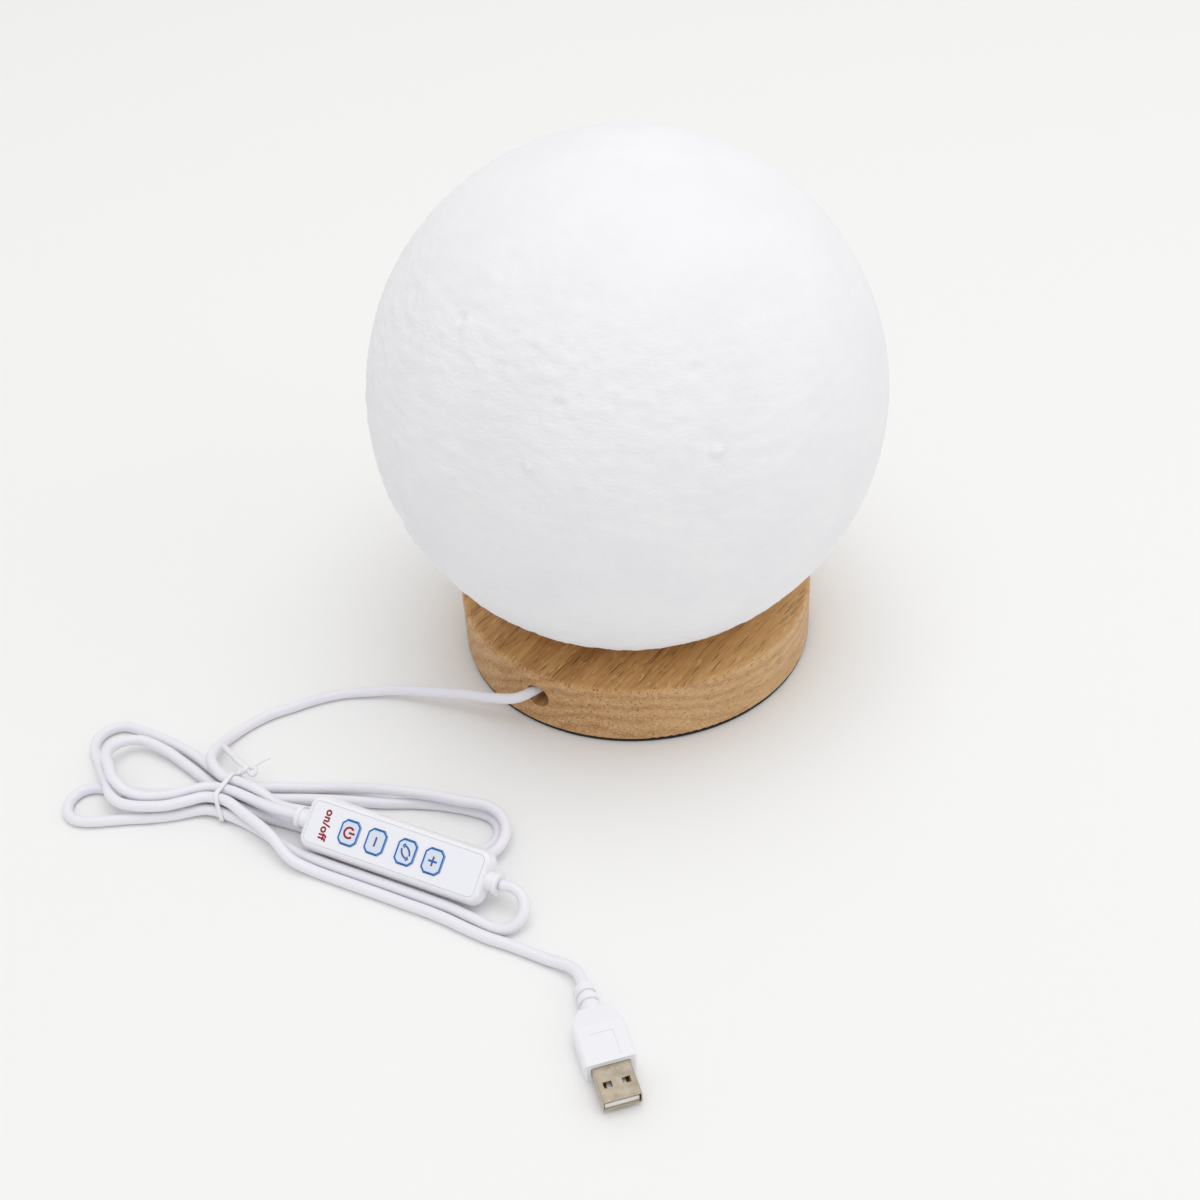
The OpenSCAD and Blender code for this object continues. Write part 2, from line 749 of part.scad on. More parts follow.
module controller_label() {
    color("azure")
        ctl_place()
            translate([0, 0, ctl_t / 2 - label_t])
                linear_extrude(height = label_t)
                    difference() {
                        round_rect(label_l, label_w, label_corner_r);
                        for (x = key_at)
                            translate([x, 0]) key_outline(key_gap_side);
                    }
}

// One key: cap through the label, flange under the roof, stem over its switch
module key(x) {
    color("lightsteelblue")
        ctl_place()
            translate([x, 0, 0]) {
                translate([0, 0, key_flange_z])
                    linear_extrude(height = ctl_t / 2 + key_proud - key_flange_z)
                        key_outline(0);
                translate([0, 0, key_flange_z])
                    linear_extrude(height = flange_key_t)
                        key_outline(flange_key_side);
                translate([0, 0, stem_bottom])
                    cylinder(d = stem_d, h = key_flange_z - stem_bottom + cut / 2, $fn = 32);
            }
}

module key_power() {
    key(key_at[0]);
}

module key_minus() {
    key(key_at[1]);
}

module key_mode() {
    key(key_at[2]);
}

module key_plus() {
    key(key_at[3]);
}

module controller_board() {
    color("seagreen")
        ctl_place()
            translate([-pcb_l / 2, -pcb_w / 2, pcb_z])
                cube([pcb_l, pcb_w, pcb_t]);
}

module key_switches() {
    color("silver")
        ctl_place()
            for (x = key_at)
                translate([x, 0, pcb_top])
                    difference() {
                        translate([-switch_w / 2, -switch_w / 2, 0]) cube([switch_w, switch_w, switch_h]);
                        translate([0, 0, well_bottom - pcb_top])
                            cylinder(r = stem_d / 2 + key_gap_side, h = switch_h, $fn = 32);
                    }
}

module controller_chips() {
    chip = [3.9, 4.9, 1.4];
    power_chip = [6.5, 6, 2];
    color("black")
        ctl_place() {
            translate([key_mid - chip[0] / 2, -chip[1] / 2, pcb_top]) cube(chip);
            translate([pcb_l / 2 - 4 - power_chip[0], -power_chip[1] / 2, pcb_top]) cube(power_chip);
        }
}

// Ring of the tie: flat band round the cord's two layers
module tie_band(grow) {
    hull() {
        for (v = [low_side[0], low_side[3]])
            translate([v, low_z]) circle(cord_d / 2 + grow, $fn = 24);
        for (v = [high_side[0], high_side[2]])
            translate([v, high_z]) circle(cord_d / 2 + grow, $fn = 24);
    }
}

// Twisted end of the tie: one of its two strands, and where each strand ends
knot_from = [0, 7.8, 7.6];
knot_to = [4.2, 11.6, 9.2];
knot_turns = 1.5;
knot_steps = 10;
function knot_point(i, phase) =
    let (
        t = i / knot_steps,
        a = phase + 360 * knot_turns * t,
        run = unit(knot_to - knot_from),
        side = unit(cross(run, [0, 0, 1])),
        up = cross(side, run)
    )
    knot_from + (knot_to - knot_from) * t + tie_t * 0.6 * (cos(a) * side + sin(a) * up);
function knot_strand(phase, tail) = [
    for (p = concat([for (i = [0 : knot_steps]) knot_point(i, phase)], tail))
    by_tie(p[0], p[1], p[2])
];

module twist_tie() {
    color("white") {
        translate([tie_at[0], tie_at[1], 0])
            rotate([90, 0, tie_turn + 90])
                translate([0, 0, -tie_w / 2])
                    linear_extrude(height = tie_w)
                        difference() {
                            tie_band(tie_gap + tie_t);
                            tie_band(tie_gap);
                        }
        long_tail = knot_strand(0, [[2, 14, 9.5], [-5, 16.5, 8], [-12, 19, 6]]);
        short_tail = knot_strand(180, [[8, 13.6, 9.6], [12.5, 14.4, 10]]);
        for (strand = [long_tail, short_tail])
            tube(strand, tie_t * 1.3, 6, unit(strand[1] - strand[0]), unit(strand[len(strand) - 1] - strand[len(strand) - 2]));
    }
}

// Frame of the plug: x towards its mouth, z = 0 at its middle height
module plug_place() {
    translate(plug_at)
        rotate([0, 0, plug_turn])
            children();
}

// Moulding seen from above: full width, then shoulders that slope to the neck
module plug_outline() {
    corner = 1.2;
    back = -plug_l - plug_shoulder_l;
    difference() {
        polygon([
            [0, -plug_w / 2], [0, plug_w / 2], [-plug_l, plug_w / 2],
            [back, plug_shoulder_w / 2], [back, -plug_shoulder_w / 2], [-plug_l, -plug_w / 2]
        ]);
        for (s = [-1, 1])
            translate([-corner, s * (plug_w / 2 - corner)])
                difference() {
                    translate([0, s > 0 ? 0 : -corner - cut]) square([corner + cut, corner + cut]);
                    circle(corner, $fn = 32);
                }
    }
}

module plug_body() {
    edge = 1.6;
    groove = 0.7;
    panel_l = 9;
    panel_w = 7.4;
    panel_t = 0.25;
    panel_from = 1.6;
    color("white")
        plug_place()
            difference() {
                union() {
                    intersection() {
                        linear_extrude(height = plug_t, center = true) plug_outline();
                        rotate([90, 0, 90])
                            translate([0, 0, -plug_end])
                                linear_extrude(height = 2 * plug_end)
                                    round_rect(plug_w, plug_t, edge);
                        rotate([90, 0, 0])
                            linear_extrude(height = plug_w + 2 * cut, center = true)
                                polygon([
                                    [0, -plug_t / 2], [0, plug_t / 2], [-plug_l, plug_t / 2],
                                    [-plug_l - plug_shoulder_l, neck_d / 2],
                                    [-plug_l - plug_shoulder_l, -neck_d / 2], [-plug_l, -plug_t / 2]
                                ]);
                    }
                    translate([-plug_end, 0, 0])
                        rotate([0, 90, 0])
                            cylinder(d = neck_d, h = neck_l + 2);
                }
                for (i = [1, 2])
                    translate([-plug_end + i * neck_l / 3, 0, 0])
                        rotate([0, 90, 0])
                            difference() {
                                cylinder(d = neck_d + cut, h = 1.2, center = true);
                                cylinder(d = neck_d - 2 * groove, h = 2, center = true);
                            }
                translate([-shell_in - seat_gap, 0, 0])
                    rotate([90, 0, 90])
                        linear_extrude(height = shell_in + cut)
                            shell_outline(seat_gap);
                translate([-panel_from - panel_l, -panel_w / 2, plug_t / 2 - panel_t])
                    cube([panel_l, panel_w, panel_t + cut]);
            }
}

// Outside of the metal shell, grown by grow
module shell_outline(grow) {
    round_rect(shell_w + 2 * grow, shell_h + 2 * grow, 0.6 + grow);
}

module plug_shell() {
    window_l = 2.2;
    window_w = 2.6;
    window_from_mouth = 5.6;
    window_apart = 5.7;
    color("silver")
        plug_place()
            difference() {
                translate([-shell_in, 0, 0])
                    rotate([90, 0, 90])
                        linear_extrude(height = shell_in + shell_out)
                            difference() {
                                shell_outline(0);
                                shell_outline(-shell_t);
                            }
                for (s = [-1, 1])
                    translate([shell_out - window_from_mouth, s * window_apart / 2, 0])
                        cube([window_l, window_w, shell_h + cut], center = true);
            }
}

// Insulating block that fills the shell's root, and the tongue below that carries the contacts
tongue_t = 1.9;
tongue_short = 0.8;
tongue_side = 0.3;
block_l = 1.2;
block_h = shell_h - 2 * shell_t - 2 * seat_gap;
module plug_tongue() {
    inner_w = shell_w - 2 * shell_t - 2 * seat_gap;
    color("white")
        plug_place() {
            translate([-shell_in, -inner_w / 2 + tongue_side, -block_h / 2])
                cube([shell_in + shell_out - tongue_short, inner_w - 2 * tongue_side, tongue_t]);
            translate([-shell_in, -inner_w / 2 + tongue_side, -block_h / 2])
                cube([shell_in + block_l, inner_w - 2 * tongue_side, block_h]);
        }
}

module plug_contacts() {
    contact_w = 1;
    contact_t = 0.15;
    contact_from = block_l + seat_gap;
    contact_at = [-3.5, -1, 1, 3.5];
    contact_short = [1, 2, 2, 1];
    color("gold")
        plug_place()
            for (i = [0 : 3])
                translate([contact_from, contact_at[i] - contact_w / 2, -block_h / 2 + tongue_t])
                    cube([shell_out - tongue_short - contact_from - contact_short[i], contact_w, contact_t]);
}

wood_base();
base_pad();
lamp_holder();
holder_screws();
led_board();
leds();
board_screws();
lead_wires();
cord_clamp();
clamp_screws();
moon_globe();
cord_from_base();
cord_hank_base();
controller_bottom();
controller_top();
controller_label();
key_power();
key_minus();
key_mode();
key_plus();
controller_board();
key_switches();
controller_chips();
cord_hank_plug();
twist_tie();
cord_to_plug();
plug_body();
plug_shell();
plug_tongue();
plug_contacts();
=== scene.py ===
"""Dresses the moon lamp: printed globe, turned foot, tied cord, four-key control and USB plug.

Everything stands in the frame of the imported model: origin under the middle of the foot, +Z
up. Sizes and points are millimetres, and MM turns them into metres where Blender takes them.
"""
import logging
import math
from dataclasses import dataclass, field
from enum import Enum
from typing import Iterable, Optional, Sequence, Union

import bmesh
import bpy
import numpy as np
from bpy.types import ID, Material, Mesh, Node, NodeSocket, NodeTree, Object
from mathutils import Matrix, Vector


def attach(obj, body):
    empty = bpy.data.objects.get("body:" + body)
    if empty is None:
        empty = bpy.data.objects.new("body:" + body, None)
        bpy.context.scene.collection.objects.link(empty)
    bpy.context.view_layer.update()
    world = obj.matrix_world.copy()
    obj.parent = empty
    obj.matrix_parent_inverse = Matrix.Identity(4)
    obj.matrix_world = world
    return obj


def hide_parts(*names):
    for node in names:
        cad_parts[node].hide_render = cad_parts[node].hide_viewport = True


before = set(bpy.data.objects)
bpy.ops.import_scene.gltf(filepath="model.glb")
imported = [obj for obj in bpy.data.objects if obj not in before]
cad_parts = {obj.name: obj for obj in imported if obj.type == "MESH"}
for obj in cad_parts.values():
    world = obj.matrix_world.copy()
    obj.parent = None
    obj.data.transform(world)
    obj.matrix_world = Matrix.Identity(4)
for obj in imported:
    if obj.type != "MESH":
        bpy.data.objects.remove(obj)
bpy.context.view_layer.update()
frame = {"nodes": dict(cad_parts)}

MM = 0.001
LOG = logging.getLogger("moon_lamp")

Point = Sequence[float]
Points = Sequence[Point]
Skin = tuple[list, list]
Source = Union[Node, NodeSocket]
Stops = Sequence[tuple[float, str]]


# ---------------------------------------------------------------- nodes

def linear(hex_colour: str) -> tuple[float, float, float, float]:
    """Turn an sRGB hex colour into the linear colour that shaders take.

    Args:
        hex_colour: colour as "#RRGGBB".

    Returns:
        Red, green, blue and alpha, linear.
    """
    parts = [int(hex_colour[i:i + 2], 16) / 255 for i in (1, 3, 5)]
    out = [c / 12.92 if c <= 0.04045 else ((c + 0.055) / 1.055) ** 2.4 for c in parts]
    return (out[0], out[1], out[2], 1.0)


def per(size: float) -> float:
    """Scale of a pattern whose cells are size millimetres wide."""
    return 1 / (size * MM)


def feed(tree: NodeTree, socket: NodeSocket, value: object) -> None:
    """Give one input its value or its link.

    Args:
        tree: the input's tree.
        socket: the input.
        value: a value, an output socket, or a node, which stands for its first output in use.
    """
    if isinstance(value, Node):
        value = next(out for out in value.outputs if out.enabled)
    if isinstance(value, NodeSocket):
        tree.links.new(value, socket)
    else:
        socket.default_value = value


def add_node(tree: NodeTree, kind: str, *feeds: object, stops: Stops = (),
             **settings: object) -> Node:
    """Add one node to a tree, with its settings and links.

    Args:
        tree: shader or geometry node tree.
        kind: the node's type name; ShaderNode in front of it is left out.
        *feeds: what the inputs in use take, in their order: a pattern takes its place and
            scale, a range its value, the ends from and the ends to. A dict goes by name.
        stops: places and hex colours, for a node that has a colour ramp.
        **settings: the node's own properties.

    Returns:
        The new node.
    """
    node = tree.nodes.new(kind if "Node" in kind else "ShaderNode" + kind)
    for name, value in settings.items():
        setattr(node, name, value)
    named = {key: value for part in feeds if isinstance(part, dict) for key, value in part.items()}
    in_order = [part for part in feeds if not isinstance(part, dict)]
    for socket, value in zip([s for s in node.inputs if s.enabled], in_order):
        feed(tree, socket, value)
    for name, value in named.items():
        feed(tree, node.inputs[name], value)
    for number, (place, colour) in enumerate(stops):
        elements = node.color_ramp.elements
        element = elements[number] if number < len(elements) else elements.new(place)
        element.position, element.color = place, linear(colour)
    return node


# ---------------------------------------------------------------- pieces

def put(name: str, data: Optional[ID]) -> Object:
    """Link a new object with this data to the scene.

    Args:
        name: its name.
        data: mesh, text, camera or lamp.

    Returns:
        The object.
    """
    made = bpy.data.objects.new(name, data)
    bpy.context.scene.collection.objects.link(made)
    return made


def mesh_piece(name: str, verts: Points, faces: Iterable[Sequence[int]], material: Material,
               smooth: bool = True) -> Object:
    """Make a mesh object from points in millimetres.

    Args:
        name: the piece's name.
        verts: corner points.
        faces: faces as point numbers.
        material: its finish.
        smooth: shade the faces smooth.

    Returns:
        The linked object, at the origin.
    """
    mesh = bpy.data.meshes.new(name)
    corners = np.array(verts, float).reshape(-1, 3) * MM
    mesh.from_pydata([tuple(v) for v in corners], [], [tuple(f) for f in faces])
    mesh.materials.append(material)
    mesh.polygons.foreach_set("use_smooth", [smooth] * len(mesh.polygons))
    mesh.update()
    return put(name, mesh)


def paint(mesh: Mesh, material: Material) -> None:
    """Give a mesh one finish in place of those that it has."""
    mesh.materials.clear()
    mesh.materials.append(material)


def evaluated(piece: Object) -> Mesh:
    """Plain mesh of a piece with its modifiers done."""
    graph = bpy.context.evaluated_depsgraph_get()
    return bpy.data.meshes.new_from_object(piece.evaluated_get(graph), depsgraph=graph)


def close_up(piece: Object, matrix: Optional[Matrix] = None) -> None:
    """Merge doubles, put the piece in place and point its faces outwards.

    Args:
        piece: a closed mesh.
        matrix: where it goes.
    """
    shape = bmesh.new()
    shape.from_mesh(piece.data)
    bmesh.ops.remove_doubles(shape, verts=shape.verts, dist=1e-7)
    if matrix is not None:
        bmesh.ops.transform(shape, matrix=matrix, verts=shape.verts)
    bmesh.ops.recalc_face_normals(shape, faces=shape.faces)
    shape.to_mesh(piece.data)
    shape.free()


def finish_piece(piece: Object, body: str, slot: "Slot", *nodes: str) -> None:
    """Let a piece ride on its body and stand for its solids, which are hidden.

    Args:
        piece: the finished piece.
        body: body that carries it.
        slot: slot of its finish; not used.
        *nodes: solids that it replaces.
    """
    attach(piece, body)
    if nodes:
        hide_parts(*nodes)


# ---------------------------------------------------------------- lines and skins

def unit(v: np.ndarray) -> np.ndarray:
    """Vector of length one along v."""
    return v / np.linalg.norm(v)


def along(path: np.ndarray) -> np.ndarray:
    """Distance from the path's start to each of its points."""
    return np.concatenate([[0], np.cumsum(np.linalg.norm(np.diff(path, axis=0), axis=1))])


def between(p: np.ndarray, q: np.ndarray, low: float, high: float, t: float) -> np.ndarray:
    """Point on the line that passes p at low and q at high."""
    return ((high - t) * p + (t - low) * q) / (high - low)


def spline(points: Points, step: float, cuts: int = 24) -> np.ndarray:
    """Smooth centripetal curve through points, cut into even steps.

    Args:
        points: points that the curve passes.
        step: distance between the samples.
        cuts: how finely the curve is worked out between two points.

    Returns:
        Samples along the curve, first and last point included.
    """
    given = np.array(points, float)
    padded = np.vstack([2 * given[0] - given[1], given, 2 * given[-1] - given[-2]])
    dense = []
    for i in range(len(given) - 1):
        p = padded[i:i + 4]
        gaps = np.sqrt(np.linalg.norm(np.diff(p, axis=0), axis=1))
        knot = np.concatenate([[0], np.cumsum(gaps)])
        for t in np.linspace(knot[1], knot[2], cuts, endpoint=False):
            a = [between(p[j], p[j + 1], knot[j], knot[j + 1], t) for j in range(3)]
            b = [between(a[j], a[j + 1], knot[j], knot[j + 2], t) for j in range(2)]
            dense.append(between(b[0], b[1], knot[1], knot[2], t))
    curve = np.array(dense + [given[-1]])
    reached = along(curve)
    wanted = np.linspace(0, reached[-1], max(2, int(round(reached[-1] / step)) + 1))
    return np.stack([np.interp(wanted, reached, curve[:, k]) for k in range(3)], axis=1)


def loft(rings: Sequence[np.ndarray], joined: bool = False) -> Skin:
    """Skin closed rings of equal length, one after the other.

    Args:
        rings: rings of points.
        joined: join the last ring to the first; otherwise both ends are closed by a face.

    Returns:
        Points and faces.
    """
    n, count = len(rings[0]), len(rings)
    faces = []
    for i in range(count if joined else count - 1):
        a, b = i * n, (i + 1) % count * n
        faces += [(a + k, a + (k + 1) % n, b + (k + 1) % n, b + k) for k in range(n)]
    if not joined:
        faces.append(tuple(reversed(range(n))))
        faces.append(tuple(range((count - 1) * n, count * n)))
    return np.concatenate(rings).tolist(), faces


def gather(skins: Iterable[Skin]) -> Skin:
    """Put several skins into one.

    Args:
        skins: each its points and faces.

    Returns:
        All points and all faces.
    """
    verts: list = []
    faces: list = []
    for points, sides in skins:
        faces += [tuple(v + len(verts) for v in side) for side in sides]
        verts += points
    return verts, faces


def circle_part(radius: float, start: float, stop: float, count: int) -> np.ndarray:
    """Pairs on a circle round the origin, from one angle in degrees to another."""
    a = np.radians(np.linspace(start, stop, count))
    return radius * np.stack([np.cos(a), np.sin(a)], axis=1)


def circle(radius: float, sides: int) -> np.ndarray:
    """Pairs on a whole circle round the origin."""
    return circle_part(radius, 0, 360, sides + 1)[:-1]


def ring(radius: float, z: float, sides: int) -> np.ndarray:
    """Level circle of points at height z."""
    return np.column_stack([circle(radius, sides), np.full(sides, z)])


def turned(profile: Points, sides: int) -> Skin:
    """Turned shape, closed at both ends, from pairs of radius and height."""
    return loft([ring(r, z, sides) for r, z in profile])


def sweep(path: np.ndarray, profile: np.ndarray,
          turns: Optional[np.ndarray] = None) -> Skin:
    """Sweep a closed profile along a path.

    Args:
        path: points of the path.
        profile: closed outline as pairs: sideways and up.
        turns: angle of the profile about the path at each point.

    Returns:
        Points and faces, ring after ring.
    """
    heading = np.gradient(path, axis=0)
    heading /= np.linalg.norm(heading, axis=1)[:, None]
    up = np.array([0.0, 0.0, 1.0] if abs(heading[0][2]) < 0.9 else [0.0, 1.0, 0.0])
    rings = []
    for i, (centre, ahead) in enumerate(zip(path, heading)):
        side = unit(np.cross(ahead, up))
        up = np.cross(side, ahead)
        angle = 0.0 if turns is None else turns[i]
        a = math.cos(angle) * side + math.sin(angle) * up
        b = -math.sin(angle) * side + math.cos(angle) * up
        rings.append(centre + profile[:, :1] * a + profile[:, 1:] * b)
    return loft(rings)


def cover_marks(path: np.ndarray, profile: np.ndarray) -> np.ndarray:
    """Lengths along and round a swept tube, for its UV map.

    Args:
        path: points of its path.
        profile: its closed outline.

    Returns:
        A pair of metres for each face corner.
    """
    length, count = along(path), len(profile)
    girth = along(np.vstack([profile, profile[:1]]))
    marks = []
    for i in range(len(path) - 1):
        for k in range(count):
            marks += [(length[i], girth[k]), (length[i], girth[k + 1]),
                      (length[i + 1], girth[k + 1]), (length[i + 1], girth[k])]
    marks += [(0.0, 0.0)] * count + [(length[-1], 0.0)] * count
    return np.array(marks) * MM


def ribbon(points: Points, width: float, low: float, high: float, joined: bool = False) -> Skin:
    """Flat line of even width along points on a plane, with mitred corners.

    Args:
        points: pairs along the line.
        width: its width.
        low, high: its heights.
        joined: the line runs back to its first point.

    Returns:
        Points and faces.
    """
    line = np.array(points, float)
    steps = np.diff(np.vstack([line, line[:1]]), axis=0)
    steps /= np.linalg.norm(steps, axis=1)[:, None]
    rings = []
    for i, p in enumerate(line):
        after = steps[i] if joined or i < len(line) - 1 else steps[i - 1]
        before = steps[i - 1] if joined or i > 0 else after
        mean = unit(before + after)
        out = np.array([-mean[1], mean[0]]) * width / 2 / (mean @ after)
        a, b = p + out, p - out
        rings.append(np.array([[*a, low], [*b, low], [*b, high], [*a, high]]))
    return loft(rings, joined)


def bend(x: float, y: float, r: float, start: float, stop: float, count: int,
         z_start: float, z_stop: float) -> list[list[float]]:
    """Points along a level or climbing arc.

    Args:
        x, y: its middle.
        r: its radius.
        start, stop: angles in degrees.
        count: number of points.
        z_start, z_stop: heights of its ends.

    Returns:
        The points.
    """
    flat = circle_part(r, start, stop, count) + (x, y)
    return np.column_stack([flat, np.linspace(z_start, z_stop, count)]).tolist()


# ---------------------------------------------------------------- geometry trees

def geometry_tree(name: str, sockets: dict[str, str]) -> tuple[NodeTree, bpy.types.NodeOutputs]:
    """Start a geometry tree with named inputs.

    Args:
        name: the tree's name.
        sockets: input name to kind of socket, after the geometry itself.

    Returns:
        The tree and its inputs.
    """
    tree = bpy.data.node_groups.new(name, "GeometryNodeTree")
    for way in ("INPUT", "OUTPUT"):
        tree.interface.new_socket("Geometry", in_out=way, socket_type="NodeSocketGeometry")
    for socket, kind in sockets.items():
        tree.interface.new_socket(socket, in_out="INPUT", socket_type="NodeSocket" + kind)
    return tree, add_node(tree, "NodeGroupInput").outputs


def end_tree(tree: NodeTree, geometry: Source, material: NodeSocket) -> None:
    """Close a tree with real meshes and their finish.

    Args:
        tree: the tree.
        geometry: what it made.
        material: the finish that it sets.
    """
    real = add_node(tree, "GeometryNodeRealizeInstances", geometry)
    done = add_node(tree, "GeometryNodeSetMaterial", real, {"Material": material})
    add_node(tree, "NodeGroupOutput", done)


def run_tree(piece: Object, tree: NodeTree, values: dict[str, object]) -> None:
    """Run a tree on a piece and keep the result as its plain mesh.

    Args:
        piece: the object that the tree starts from.
        tree: the geometry tree.
        values: value of each named input.
    """
    modifier = piece.modifiers.new(tree.name, "NODES")
    modifier.node_group = tree
    for item in tree.interface.items_tree:
        if item.in_out == "INPUT" and item.name in values:
            modifier[item.identifier] = values[item.name]
    mesh = evaluated(piece)
    piece.modifiers.clear()
    mesh.name = piece.name
    piece.data = mesh


@dataclass
class RingOfCopies:
    """Copies of one small piece, evenly spread on a level circle.

    Attributes:
        count: number of copies.
        radius: radius of the circle.
        z: height of the copies.
        first: angle of the first copy in degrees.
    """

    count: int
    radius: float
    z: float = 0.0
    first: float = 0.0

    def tree(self) -> NodeTree:
        """Make the tree: points on a circle, each with a copy that faces outwards.

        Returns:
            The tree.
        """
        tree, sizes = geometry_tree("ring_of_copies", {
            "Copy": "Object", "Count": "Int", "Ring Radius": "Float", "Height": "Float",
            "First Angle": "Float", "Finish": "Material"})
        index = add_node(tree, "GeometryNodeInputIndex")
        turns = add_node(tree, "Math", index, 2 * math.pi, operation="MULTIPLY")
        share = add_node(tree, "Math", turns, sizes["Count"], operation="DIVIDE")
        angle = add_node(tree, "Math", share, sizes["First Angle"])
        arm = add_node(tree, "CombineXYZ", sizes["Ring Radius"], {"Z": sizes["Height"]})
        place = add_node(tree, "VectorRotate", arm, {"Angle": angle}, rotation_type="Z_AXIS")
        points = add_node(tree, "GeometryNodePoints", sizes["Count"], place)
        facing = add_node(tree, "FunctionNodeEulerToRotation",
                          add_node(tree, "CombineXYZ", {"Z": angle}))
        copy = add_node(tree, "GeometryNodeObjectInfo", {"Object": sizes["Copy"]})
        copies = add_node(tree, "GeometryNodeInstanceOnPoints", points, {
            "Instance": copy.outputs["Geometry"], "Rotation": facing})
        end_tree(tree, copies, sizes["Finish"])
        return tree

    def build(self, name: str, copy: Object, matrix: Optional[Matrix] = None) -> Object:
        """Make the copies as one mesh.

        Args:
            name: name of the piece.
            copy: the small piece; it is taken away afterwards.
            matrix: where the ring goes.

        Returns:
            The piece.
        """
        finish = copy.data.materials[0]
        piece = mesh_piece(name, [], [], finish)
        run_tree(piece, self.tree(), {
            "Copy": copy, "Count": self.count, "Ring Radius": self.radius * MM,
            "Height": self.z * MM, "First Angle": math.radians(self.first), "Finish": finish})
        bpy.data.objects.remove(copy)
        close_up(piece, matrix)
        return piece


# ---------------------------------------------------------------- places on the object

@dataclass(frozen=True)
class Place:
    """A local frame on the object.

    Attributes:
        at: its origin.
        turn: heading of its x axis in degrees.
        tilt: turn about that axis in degrees.
    """

    at: tuple[float, float, float] = (0.0, 0.0, 0.0)
    turn: float = 0.0
    tilt: float = 0.0

    def level(self, ahead: float, side: float, z: float) -> list[float]:
        """Point near the place, level with the surface.

        Args:
            ahead, side: its distances along the heading and to the left of it.
            z: its height.

        Returns:
            The point.
        """
        a = math.radians(self.turn)
        return [self.at[0] + ahead * math.cos(a) - side * math.sin(a),
                self.at[1] + ahead * math.sin(a) + side * math.cos(a), z]

    def matrix(self, x: float = 0.0, y: float = 0.0, z: float = 0.0) -> Matrix:
        """Transform from the local frame.

        Args:
            x, y, z: a shift in the frame's own directions.

        Returns:
            The transform, in metres.
        """
        turn = Matrix.Rotation(math.radians(self.turn), 4, "Z")
        tilt = Matrix.Rotation(math.radians(self.tilt), 4, "X")
        moved = Matrix.Translation(Vector((x, y, z)) * MM)
        return Matrix.Translation(Vector(self.at) * MM) @ turn @ tilt @ moved

    def local(self, tree: NodeTree, x: float = 0.0) -> Node:
        """Coordinates of a point in this frame.

        Args:
            tree: shader tree.
            x: distance of the pattern's middle along the frame.

        Returns:
            The node that gives them, in metres.
        """
        where = add_node(tree, "TexCoord").outputs["Object"]
        return add_node(tree, "Mapping", where, {
            "Location": self.matrix(x).to_translation(),
            "Rotation": (math.radians(self.tilt), 0.0, math.radians(self.turn))},
            vector_type="TEXTURE")


BORE = Place(turn=-125.7)
CONTROL = Place((-86.3, -117.9, 9.2), -27.5, 35.0)
PLUG = Place((-19.3, -204.2, 4.0), -76.5)
TIE = Place((-148.5, -83.0, 0.0), -27.0)


# ---------------------------------------------------------------- finishes

class Slot(Enum):
    """Names of material slots; pieces are passed one, but take their finish from their own
    material.
    """

    GLOBE = "globe_print"
    PAD = "pad"
    PLUG = "plug_steel"
    CORD = "cord_pvc"
    TIE = "tie"
    LEAD = "lead"
    LED = "led"
    LABEL = "label"
    KEY = "key_blue"
    STEEL = "steel"
    BOARD = "pcb_white"


